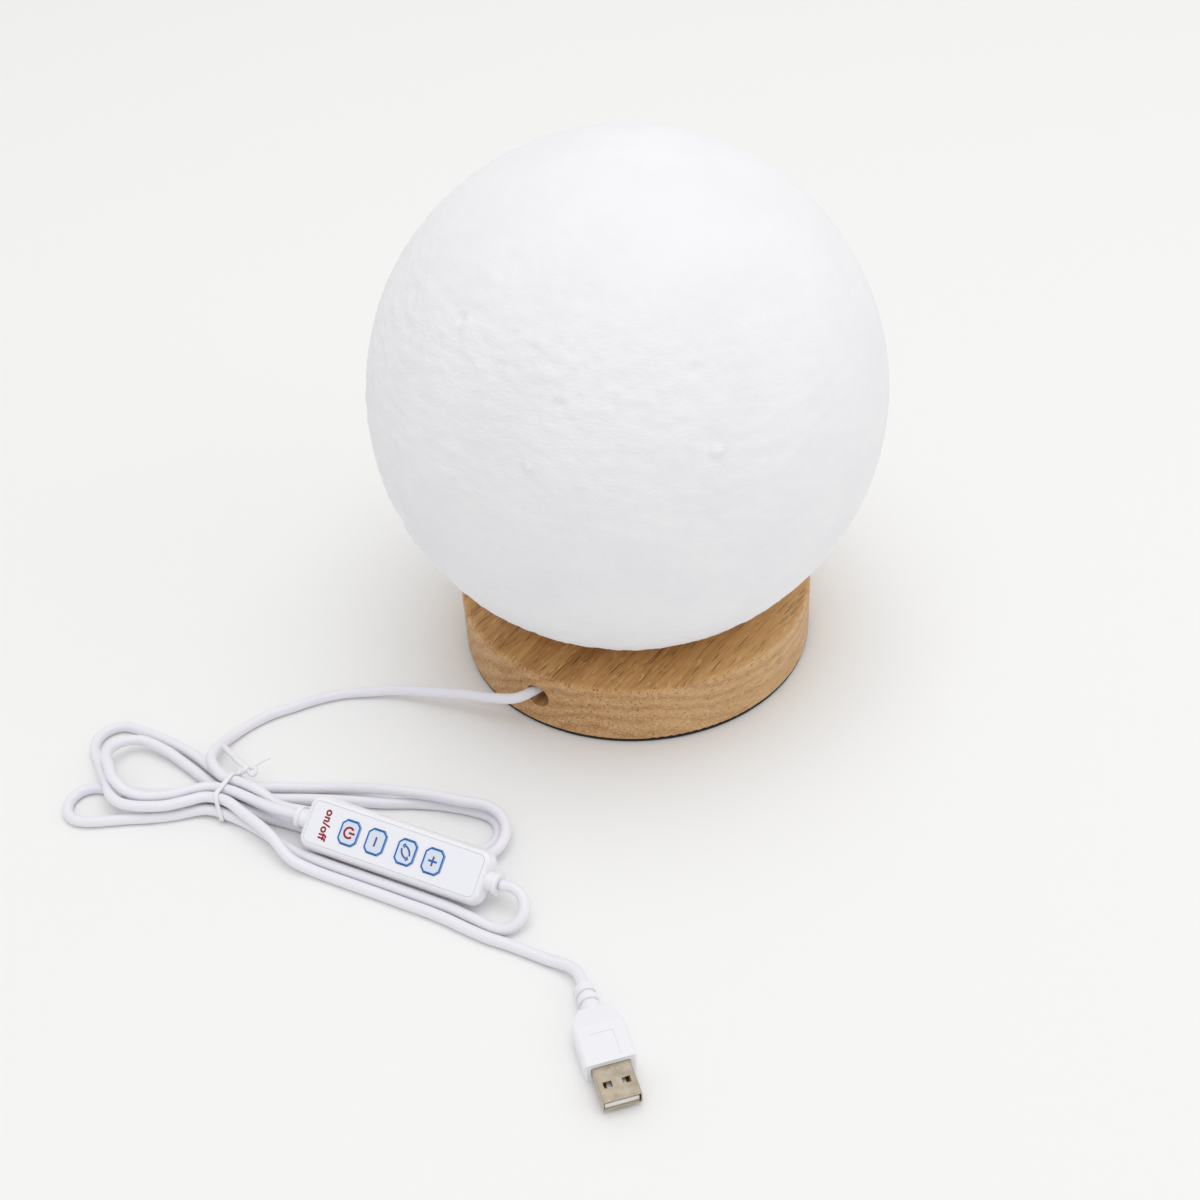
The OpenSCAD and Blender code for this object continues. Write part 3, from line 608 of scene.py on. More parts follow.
@dataclass(frozen=True)
class Finish:
    """An even finish with uneven gloss and fine grain.

    Attributes:
        name: the material's name.
        colour: sRGB colour.
        roughness: roughness of the shader.
        metallic: 1 for bare metal.
        ior: index of refraction, None for the default.
        grain_mm: size of the finest surface grain.
        relief_mm: depth of that grain.
        patch_mm: size of the patches in which the gloss wanders.
        blotch: how far it wanders to either side.
        glow: subsurface weight, for plastics that let some light in.
    """

    name: str
    colour: str
    roughness: float
    metallic: float = 0.0
    ior: Optional[float] = None
    grain_mm: float = 0.6
    relief_mm: float = 0.01
    patch_mm: float = 12.0
    blotch: float = 0.05
    glow: float = 0.0

    def shader(self, tree: NodeTree) -> Node:
        """Give the tree's Principled node its even values.

        Args:
            tree: the material's tree.

        Returns:
            The node.
        """
        shader = tree.nodes["Principled BSDF"]
        values: dict[str, object] = {"Base Color": linear(self.colour),
                                     "Roughness": self.roughness, "Metallic": self.metallic}
        if self.ior is not None:
            values["IOR"] = self.ior
        if self.glow:
            values.update({"Subsurface Weight": self.glow, "Subsurface Scale": 2.0 * MM,
                           "Subsurface Radius": (1.0, 0.95, 0.9)})
        for name, value in values.items():
            shader.inputs[name].default_value = value
        return shader

    def relief(self, tree: NodeTree, shader: Node, *layers: tuple[Source, float]) -> None:
        """Lay surface reliefs one on the other.

        Args:
            tree: shader tree.
            shader: the Principled node.
            *layers: what gives a height from 0 to 1, and the height of a full step in mm.
        """
        below: dict[str, object] = {}
        for height, depth in layers:
            bump = add_node(tree, "Bump", {"Height": height, "Distance": depth * MM,
                                           "Strength": 1.0, **below})
            below = {"Normal": bump}
        feed(tree, shader.inputs["Normal"], below["Normal"])

    def dress(self, tree: NodeTree, shader: Node) -> None:
        """Add the pattern: fine grain, and gloss that wanders in patches.

        Args:
            tree: the material's tree.
            shader: its Principled node.
        """
        where = add_node(tree, "TexCoord").outputs["Object"]
        grain = add_node(tree, "TexNoise", where, per(self.grain_mm), {"Detail": 2.0})
        self.relief(tree, shader, (grain, self.relief_mm))
        patches = add_node(tree, "TexNoise", where, per(self.patch_mm))
        gloss = add_node(tree, "MapRange", patches, {"To Min": self.roughness - self.blotch,
                                                     "To Max": self.roughness + self.blotch})
        feed(tree, shader.inputs["Roughness"], gloss)

    def build(self) -> Material:
        """Make the material."""
        material = bpy.data.materials.new(self.name)
        material.use_nodes = True
        self.dress(material.node_tree, self.shader(material.node_tree))
        return material


# The globe's print is rougher towards this side, and calms down from the first height on the
# ball of radius 1 to the second, by the share that follows.
ROUGH_SIDE = (-0.6, -0.25, 0.0)
CALM_FROM, CALM_FULL, CALM_SHARE = 0.62, 0.88, 0.3


def print_share(tree: NodeTree, facing: Source) -> Node:
    """How rough the globe's print is: rougher on its left side, calm round the top.

    Args:
        tree: shader or geometry tree.
        facing: outward direction on the globe, of length 1.

    Returns:
        The node that gives the share, about 1.
    """
    left = add_node(tree, "VectorMath", facing, ROUGH_SIDE, operation="DOT_PRODUCT")
    share = add_node(tree, "Math", left, 0.85)
    height = add_node(tree, "SeparateXYZ", facing).outputs["Z"]
    cap = add_node(tree, "MapRange", height, CALM_FROM, CALM_FULL, 1.0, CALM_SHARE)
    return add_node(tree, "Math", share, cap, operation="MULTIPLY")


@dataclass(frozen=True)
class PrintedPla(Finish):
    """White PLA laid down in thin layers.

    Attributes:
        cloud_mm: size of the faint clouds in its white.
        layer_mm: distance between two drawn layers; real ones are 0.2 mm and wouldn't show.
        ridge_mm: height of a drawn layer's ridge.
        centre_mm: height of the globe's middle.
        radius_mm: its radius.
    """

    cloud_mm: float = 22.0
    layer_mm: float = 0.9
    ridge_mm: float = 0.004
    centre_mm: float = 106.58
    radius_mm: float = 90.0

    def dress(self, tree: NodeTree, shader: Node) -> None:
        """Add grit, faint layer lines and a cool white that wanders a little."""
        where = add_node(tree, "TexCoord").outputs["Object"]
        cloud = add_node(tree, "TexNoise", where, per(self.cloud_mm), {"Detail": 3.0})
        tint = add_node(tree, "ValToRGB", cloud, stops=((0.35, "#F0F0F3"), (0.65, "#F3F3F5")))
        feed(tree, shader.inputs["Base Color"], tint)
        # The layers pull the grit into short level streaks.
        level = add_node(tree, "Mapping", where, {"Scale": (1.0, 1.0, 2.4)})
        grit = add_node(tree, "TexNoise", level, per(self.grain_mm),
                        {"Detail": 3.0, "Roughness": 0.6})
        arm = add_node(tree, "VectorMath", where, (0.0, 0.0, self.centre_mm * MM),
                       operation="SUBTRACT")
        facing = add_node(tree, "VectorMath", arm, per(self.radius_mm), operation="SCALE")
        rough = add_node(tree, "Math", grit, print_share(tree, facing), operation="MULTIPLY")
        height = add_node(tree, "SeparateXYZ", where).outputs["Z"]
        turns = add_node(tree, "Math", height, 2 * math.pi * per(self.layer_mm),
                         operation="MULTIPLY")
        wave = add_node(tree, "Math", turns, operation="SINE")
        self.relief(tree, shader, (rough, self.relief_mm), (wave, self.ridge_mm))


@dataclass(frozen=True)
class TurnedRubberwood(Finish):
    """Rubberwood turned and oiled: wide soft bands, streaks and short dark pores.

    Attributes:
        grain_turn: heading of the grain in degrees.
        band_mm: distance between two growth bands.
        streak_mm: width of a streak.
        pore_mm: width of a pore.
        ray_mm: width of a ray's fleck.
        broad_mm: width of the broad paler and darker stretches.
        stretch: length of streaks and pores against their width.
        pith_mm: middle of the growth bands, across the grain and below.
        pale_side_mm: where the paler side is full and where it ends, across the grain.
        shaded_top_mm: heights between which the side gives way to the top, painted browner and
            more saturated as shade under the globe.
    """

    grain_turn: float = 52.0
    band_mm: float = 5.5
    streak_mm: float = 1.3
    pore_mm: float = 0.6
    ray_mm: float = 1.1
    broad_mm: float = 14.0
    stretch: float = 16.0
    pith_mm: tuple[float, float] = (-30.0, -55.0)
    pale_side_mm: tuple[float, float] = (-66.0, -25.0)
    shaded_top_mm: tuple[float, float] = (23.6, 24.9)

    def dress(self, tree: NodeTree, shader: Node) -> None:
        """Add bands round the pith, streaks, pores, pale rays, a paler side and painted shade on
        the top.
        """
        grain = Place(turn=self.grain_turn).local(tree)
        parts = add_node(tree, "SeparateXYZ", grain).outputs
        drawn = add_node(tree, "Mapping", grain, {"Scale": (1 / self.stretch, 1.0, 1.0)})
        across, below = self.pith_mm
        pith = add_node(tree, "Mapping", drawn, (0.0, -across * MM, -below * MM))
        # A wave of scale 1 has a ring every 2 pi / 20.
        rings = add_node(tree, "TexWave", pith, math.pi / 10 * per(self.band_mm), {
            "Distortion": 9.0, "Detail": 3.0, "Detail Scale": 0.7},
            wave_type="RINGS", rings_direction="X").outputs["Fac"]
        streaks = add_node(tree, "TexNoise", drawn, per(self.streak_mm),
                           {"Detail": 4.0, "Roughness": 0.6})
        pores = add_node(tree, "TexNoise", drawn, per(self.pore_mm), {"Detail": 1.0})
        broad = add_node(tree, "TexNoise", drawn, per(self.broad_mm), {"Detail": 2.0})
        # Rays cut across show on the turned side as short pale flecks.
        flecks = add_node(tree, "Mapping", grain, {"Scale": (0.25, 1.0, 1.6)})
        rays = add_node(tree, "TexNoise", flecks, per(self.ray_mm), {"Detail": 2.0})
        band = add_node(tree, "ValToRGB", rings, stops=(
            (0.02, "#935F2B"), (0.22, "#B98750"), (0.6, "#CB9E69"), (0.9, "#D8B07E")))
        streak = add_node(tree, "ValToRGB", streaks, stops=(
            (0.36, "#A87744"), (0.5, "#C4955F"), (0.66, "#DAB384")))
        patch = add_node(tree, "ValToRGB", broad, stops=((0.35, "#B58450"), (0.65, "#D2A875")))
        dark = add_node(tree, "MapRange", pores, 0.61, 0.69, 0.0, 0.85)
        pale = add_node(tree, "MapRange", rays, 0.6, 0.7, 0.0, 0.5)
        # The wood is paler towards one side, on the right as the camera sees it.
        pale_side = add_node(tree, "MapRange", parts["Y"], *(v * MM for v in self.pale_side_mm), 0.25, 0.0)
        # The top is painted a little browner and more saturated than the side: painted shade, as
        # the globe over it leaves it only bounced light.
        top = add_node(tree, "MapRange", parts["Z"], *(v * MM for v in self.shaded_top_mm), 0.0, 0.5)
        colour = band
        for share, over, blend in (
                (0.58, streak, "MIX"), (0.35, patch, "MIX"), (dark, linear("#6E4824"), "MIX"),
                (pale, linear("#E9CFA8"), "MIX"), (pale_side, linear("#E6C393"), "MIX"),
                # The last coat is the painted shade on the top.
                (top, linear("#FFEDB6"), "MULTIPLY")):
            colour = add_node(tree, "Mix", share, colour, over, data_type="RGBA",
                              blend_type=blend)
        feed(tree, shader.inputs["Base Color"], colour)
        self.relief(tree, shader, (dark, -0.08), (streaks, 0.05))


@dataclass(frozen=True)
class Foam(Finish):
    """Black closed-cell foam."""

    def dress(self, tree: NodeTree, shader: Node) -> None:
        """Add rounded cells about half a millimetre wide."""
        where = add_node(tree, "TexCoord").outputs["Object"]
        cells = add_node(tree, "TexVoronoi", where, per(self.grain_mm))
        tint = add_node(tree, "ValToRGB", cells, stops=((0.0, "#343435"), (0.6, "#1E1E1F")))
        feed(tree, shader.inputs["Base Color"], tint)
        self.relief(tree, shader, (cells, self.relief_mm))


@dataclass(frozen=True)
class SoftCover(Finish):
    """Extruded PVC cover of a cord.

    Attributes:
        wave_mm: length of the soft waves in it.
        swell_mm: height of those waves.
    """

    wave_mm: float = 5.0
    swell_mm: float = 0.03

    def dress(self, tree: NodeTree, shader: Node) -> None:
        """Add faint lines along the cord from the die, and soft waves."""
        marks = add_node(tree, "UVMap", uv_map="along")
        drawn = add_node(tree, "Mapping", marks, {"Scale": (0.03, 1.0, 1.0)})
        lines = add_node(tree, "TexNoise", drawn, per(self.grain_mm), {"Detail": 1.0})
        waves = add_node(tree, "TexNoise", marks, per(self.wave_mm))
        self.relief(tree, shader, (lines, self.relief_mm), (waves, self.swell_mm))


@dataclass(frozen=True)
class Plated(Finish):
    """Nickel-plated sheet of the plug."""

    def dress(self, tree: NodeTree, shader: Node) -> None:
        """Add fine rolling lines along the plug and rubbed patches."""
        where = PLUG.local(tree)
        drawn = add_node(tree, "Mapping", where, {"Scale": (0.05, 1.0, 1.0)})
        lines = add_node(tree, "TexNoise", drawn, per(self.grain_mm), {"Detail": 2.0})
        self.relief(tree, shader, (lines, self.relief_mm))
        patches = add_node(tree, "TexNoise", where, per(self.patch_mm), {"Detail": 3.0})
        gloss = add_node(tree, "MapRange", patches, 0.3, 0.7, self.roughness - self.blotch,
                         self.roughness + 2 * self.blotch)
        feed(tree, shader.inputs["Roughness"], gloss)
        tint = add_node(tree, "ValToRGB", patches, stops=((0.35, "#C2B5A1"), (0.65, self.colour)))
        feed(tree, shader.inputs["Base Color"], tint)


@dataclass(frozen=True)
class KeyFilm(Finish):
    """Domed film of a key, printed pale blue towards its edge.

    Attributes:
        x: place of the key's middle along the control.
        half: half of the key's width and length.
    """

    x: float = 0.0
    half: tuple[float, float] = (3.55, 4.2)

    def dress(self, tree: NodeTree, shader: Node) -> None:
        """Add the print: greyish middle, light blue towards the outline."""
        super().dress(tree, shader)
        parts = add_node(tree, "SeparateXYZ", CONTROL.local(tree, self.x)).outputs
        shares = []
        for axis, half in zip("XY", self.half):
            size = add_node(tree, "Math", parts[axis], operation="ABSOLUTE")
            shares.append(add_node(tree, "Math", size, half * MM, operation="DIVIDE"))
        edge = add_node(tree, "Math", *shares, operation="MAXIMUM")
        tint = add_node(tree, "ValToRGB", edge, stops=(
            (0.4, self.colour), (0.7, "#D6E3F5"), (0.85, "#C2DDFC")))
        feed(tree, shader.inputs["Base Color"], tint)


# Matt and faintly gritty; a little light goes in, so its shade stays soft.
GLOBE_PRINT = PrintedPla("printed_pla_white", "#F1F1F4", 0.66, grain_mm=2.2, relief_mm=0.22,
                         glow=0.03)
# Honey colour with a dull oil sheen.
RUBBERWOOD = TurnedRubberwood("turned_rubberwood_oiled", "#C89C68", 0.5)
# Swallows the light: a dark line under the foot.
EVA_FOAM = Foam("black_eva_foam", "#2A2A2B", 0.9, relief_mm=0.15)
# Soft satin white, slightly violet in the shade.
CORD_PVC = SoftCover("extruded_pvc_white", "#EDEBF2", 0.36, ior=1.53, grain_mm=0.5,
                     relief_mm=0.012)
# Smooth and rather glossy, with soft edges of light.
ABS_SHELL = Finish("moulded_abs_white_gloss", "#F0EFF4", 0.28, ior=1.54, grain_mm=0.8,
                   relief_mm=0.006)
# Duller white of the parts inside.
ABS_INNER = Finish("moulded_abs_white_satin", "#ECEBE7", 0.5, ior=1.54)
# Thin clear-coated film, flatter in its gloss than the shell round it.
FACE_FILM = Finish("polyester_face_film", "#F0F1F7", 0.32, ior=1.57, grain_mm=0.4,
                   relief_mm=0.004)
# Slightly raised ink lines, duller than the film under them.
BLUE_INK = Finish("screen_printed_blue", "#1C5DAB", 0.45, grain_mm=0.3, relief_mm=0.004)
RED_INK = Finish("screen_printed_red", "#960F22", 0.45, grain_mm=0.3, relief_mm=0.004)
# Plastic film over wire: white with a dull gloss.
TIE_FILM = Finish("extruded_tie_film_white", "#EEEDF1", 0.4, ior=1.5, grain_mm=0.7,
                  relief_mm=0.02)
# Soft moulding with a fine spark-eroded grain.
PLUG_PVC = Finish("moulded_pvc_white", "#EFEEF3", 0.42, ior=1.53, grain_mm=0.5,
                  relief_mm=0.015)
# Warm bright metal with rubbed patches.
NICKEL = Plated("nickel_plated_sheet", "#C9BDAA", 0.2, metallic=1.0, grain_mm=0.2,
                relief_mm=0.004, patch_mm=3.0, blotch=0.04)
# Cool dense white inside the dark mouth of the plug.
TONGUE_PBT = Finish("moulded_pbt_white", "#F1F0EE", 0.45, ior=1.55)
# Small yellow glints on the tongue.
GOLD = Finish("gold_plated_strip", "#D9B25A", 0.28, metallic=1.0, grain_mm=0.2, relief_mm=0.003)
# Blue-grey bright plating on the screws.
ZINC = Finish("zinc_plated_steel", "#B4B7BA", 0.32, metallic=1.0, grain_mm=0.2, relief_mm=0.004)
# Lacquer of the boards, glossy over a fine weave.
WHITE_MASK = Finish("white_solder_mask", "#E9E9E3", 0.35, grain_mm=0.3, relief_mm=0.006)
GREEN_MASK = Finish("green_solder_mask", "#2C6A44", 0.3, grain_mm=0.3, relief_mm=0.008)
# Creamy white round each light.
LED_BODY = Finish("moulded_ppa_white", "#E8E6DE", 0.45, ior=1.55, grain_mm=0.3, relief_mm=0.006)
# Waxy yellow dots that let light in.
PHOSPHOR = Finish("silicone_phosphor_yellow", "#E6C94F", 0.3, ior=1.41, glow=0.2, grain_mm=0.3,
                  relief_mm=0.01)
# Bright lumpy metal of the joints.
SOLDER = Finish("tin_solder", "#BFC1C2", 0.25, metallic=1.0, grain_mm=0.5, relief_mm=0.02)
# Dull black of the chips.
EPOXY = Finish("black_moulded_epoxy", "#232325", 0.55, grain_mm=0.15)
# Strong red, soft in its gloss.
LEAD_PVC = Finish("red_lead_cover", "#A82622", 0.4, ior=1.53)


# ---------------------------------------------------------------- cord

@dataclass
class CordSet:
    """The white cord in its two lengths.

    Attributes:
        diameter: diameter of the cord.
        low_z, high_z: heights of the two layers at the tie.
        low_side, high_side: sideways places of the passes through the tie.
        step: distance between the rings of the tube.
        sides: sides of the tube.
        control_end, plug_end: where the cord enters the control and the plug.
        drop_mid: middle of the half turn at the control's right end, from that end.
        drop_size: reach, half width and half height of that turn.
        pieces: the finished lengths with their paths.
    """

    diameter: float = 3.8
    low_z: float = 2.9
    high_z: float = 7.1
    low_side: tuple[float, ...] = (-6.9, -2.3, 2.3, 6.9)
    high_side: tuple[float, ...] = (-4.6, 0.0, 4.7)
    step: float = 1.2
    sides: int = 20
    control_end: float = 38.5
    plug_end: float = 30.5
    drop_mid: tuple[float, float, float] = (3.9, -5.5, 5.6)
    drop_size: tuple[float, float, float] = (7.1, 6.05, 3.6)
    pieces: dict[str, tuple[Object, np.ndarray]] = field(default_factory=dict)

    def low(self, ahead: float, number: int) -> list[float]:
        """Point of a pass through the tie in the lower layer."""
        return TIE.level(ahead, self.low_side[number], self.low_z)

    def high(self, ahead: float, number: int) -> list[float]:
        """Point of a pass through the tie in the upper layer."""
        return TIE.level(ahead, self.high_side[number], self.high_z)

    def drop_bend(self, count: int) -> list[list[float]]:
        """Half turn from the control's right end down to the surface.

        Args:
            count: its number of steps.

        Returns:
            Its points.
        """
        (x, y, z), (reach, half, rise) = self.drop_mid, self.drop_size
        return [CONTROL.level(self.control_end + x + reach * math.sin(a),
                              y + half * math.cos(a), z + rise * math.cos(a))
                for a in np.linspace(0, math.pi, count + 1)]

    def base_route(self) -> list[list[float]]:
        """Clamp, hole, surface, tie, right bend, tie, left loop, tie, control's left end.

        Returns:
            Points of the length on the foot's side.
        """
        bore, ctl, low, high = BORE.level, CONTROL.level, self.low, self.high
        end, mid = self.control_end, CONTROL.at[2]
        return [
            bore(38, 1.2, 14.5), bore(44, 1.2, 14.5), bore(54, 0, 14.6), bore(63, -1.9, 15),
            [-46, -54, 14.6], [-55, -51, 12.5], [-65, -45.5, 10], [-75, -41, 7.5],
            [-84, -37, 5.3], [-93, -34, 3.6], [-102, -32.8, 2.5], [-112, -32.5, 2],
            [-121, -34.5, 2], [-130, -38, 2], [-138, -41.3, 2], [-145, -46, 2],
            [-151.5, -53, 2.8], [-155, -60.5, 5], [-155.5, -68, 7],
            high(-4, 2), high(0, 2), high(4, 2), [-136.5, -84.8, 7], [-129.5, -89.3, 4],
            ctl(-36, 9, 2), ctl(-25, 8.6, 2), ctl(-15, 8.5, 2), ctl(-5, 9, 2), ctl(5, 10.5, 2),
            *bend(-62, -106, 9, -105, 55, 6, 2, 2),
            [-70, -93.2, 2], [-82, -90.7, 2], [-94, -89.5, 2], [-106, -87.5, 2],
            [-120, -85.5, 2], [-132, -84.3, 2], low(5, 2), low(0, 2), low(-5, 2),
            [-164.5, -66.3, 2.4], [-174, -58.3, 3.6],
            *bend(-184.3, -63.4, 9.7, 85, 150, 3, 5, 7), [-193.3, -64.5, 8.6],
            *bend(-175, -68, 16, 190, 213, 2, 10.2, 10.2),
            *bend(-175, -68, 16, 238, 262, 2, 8.2, 7),
            [-167, -84, 7], [-160, -82.2, 7.1], [-154, -81.4, 7], high(0, 1), high(5, 1),
            [-135.5, -91, 7.4], ctl(-49, 0, 8.6), ctl(-end - 4, 0, mid), ctl(-end, 0, mid),
        ]

    def plug_route(self) -> list[list[float]]:
        """Control's right end, tie, left loop, tie, right bend, tie, left loop, tie, plug.

        Returns:
            Points of the length on the plug's side.
        """
        ctl, low, high = CONTROL.level, self.low, self.high
        return [
            ctl(self.control_end, 0, CONTROL.at[2]), *self.drop_bend(6),
            ctl(34, -10.9, 2), ctl(26, -10, 2), ctl(20, -9.8, 2), ctl(10, -9.7, 2),
            ctl(0, -9.7, 2), ctl(-10, -9.7, 2), ctl(-20, -9.7, 2), ctl(-36, -9.1, 2),
            TIE.level(13, -7.1, 2.2), low(5, 0), low(0, 0),
            [-156.6, -87.8, 2.5], [-166, -89, 2], [-174, -89.6, 2], [-182, -89.5, 2],
            *bend(-197, -81.5, 8, 268, 92, 6, 2, 2),
            [-189, -75.3, 2], [-176, -78, 2], [-165, -79.3, 2.3],
            low(-5, 1), low(0, 1), low(5, 1), [-136, -91.7, 2.2],
            ctl(-36, 1.5, 2), ctl(-25, 2, 2), ctl(-15, 3, 2), ctl(-5, 4.3, 2), ctl(5, 5.8, 2),
            *bend(-61.5, -108.5, 11, -105, 60, 6, 3, 7),
            [-66, -95.3, 6.8], [-78, -91, 6.5], [-93, -86.5, 5.6], [-107, -82, 3],
            [-121, -79.8, 2], [-132, -78.9, 2.2], TIE.level(6, 7.3, 2.9), low(0, 3), low(-5, 3),
            [-163, -60.6, 2.2], [-172, -53.5, 2], [-181, -47.8, 2],
            *bend(-192.3, -51.5, 8.7, 80, 195, 5, 2, 2), [-197, -62.5, 4.5],
            *bend(-178, -75, 13, 188, 262, 4, 6.7, 6.7),
            [-169, -88.9, 6.9], [-161, -87.4, 7.1], [-155.6, -86, 7], high(0, 0), high(4, 0),
            TIE.level(12, -7, 7), [-131, -104.8, 6.7],
            ctl(-34, -13.9, 4), ctl(-26, -14, 2.3), ctl(-18, -14, 2), ctl(-9, -14, 2),
            ctl(0, -14, 2), ctl(9, -14.1, 2), ctl(18, -14.1, 2), ctl(26, -14.5, 2),
            ctl(34, -15.35, 2), ctl(42, -15.9, 2), [-51.3, -153.8, 2], [-44.5, -157.4, 2],
            [-37.4, -161.5, 2.2], [-31.5, -164.9, 3.1], [-28.8, -167.6, 3.8],
            PLUG.level(-self.plug_end - 4, 0, PLUG.at[2]),
            PLUG.level(-self.plug_end, 0, PLUG.at[2]),
        ]

    def build(self) -> None:
        """Make both lengths, each with the lengths along and round it as its UV map."""
        cover, profile = CORD_PVC.build(), circle(self.diameter / 2, self.sides)
        for name, route, nodes in (
                ("cord_base_side", self.base_route(), ("cord_from_base", "cord_hank_base")),
                ("cord_plug_side", self.plug_route(), ("cord_hank_plug", "cord_to_plug"))):
            path = spline(route, self.step)
            piece = mesh_piece(name, *sweep(path, profile), cover)
            layer = piece.data.uv_layers.new(name="along")
            layer.data.foreach_set("uv", cover_marks(path, profile).astype(np.float32).ravel())
            finish_piece(piece, "base", Slot.CORD, *nodes)
            self.pieces[name] = (piece, path)

    def declare(self, on_control: Sequence[Object], on_plug: Sequence[Object]) -> None:
        """Log how long both lengths are.

        Args:
            on_control: pieces of the control and the tie; not used.
            on_plug: pieces of the plug; not used.
        """
        for name, leaves, far_end, carried in (
                ("cord_base_side", BORE.level(66, -2, 15.1), "fitting", on_control),
                ("cord_plug_side", CONTROL.level(self.control_end, 0, CONTROL.at[2]), "plug",
                 on_plug)):
            piece, path = self.pieces[name]
            length = float(along(path)[-1])
            [v * MM for v in leaves]
            list(carried)
            LOG.info("%s: %.0f mm long", name, length)


# ---------------------------------------------------------------- globe

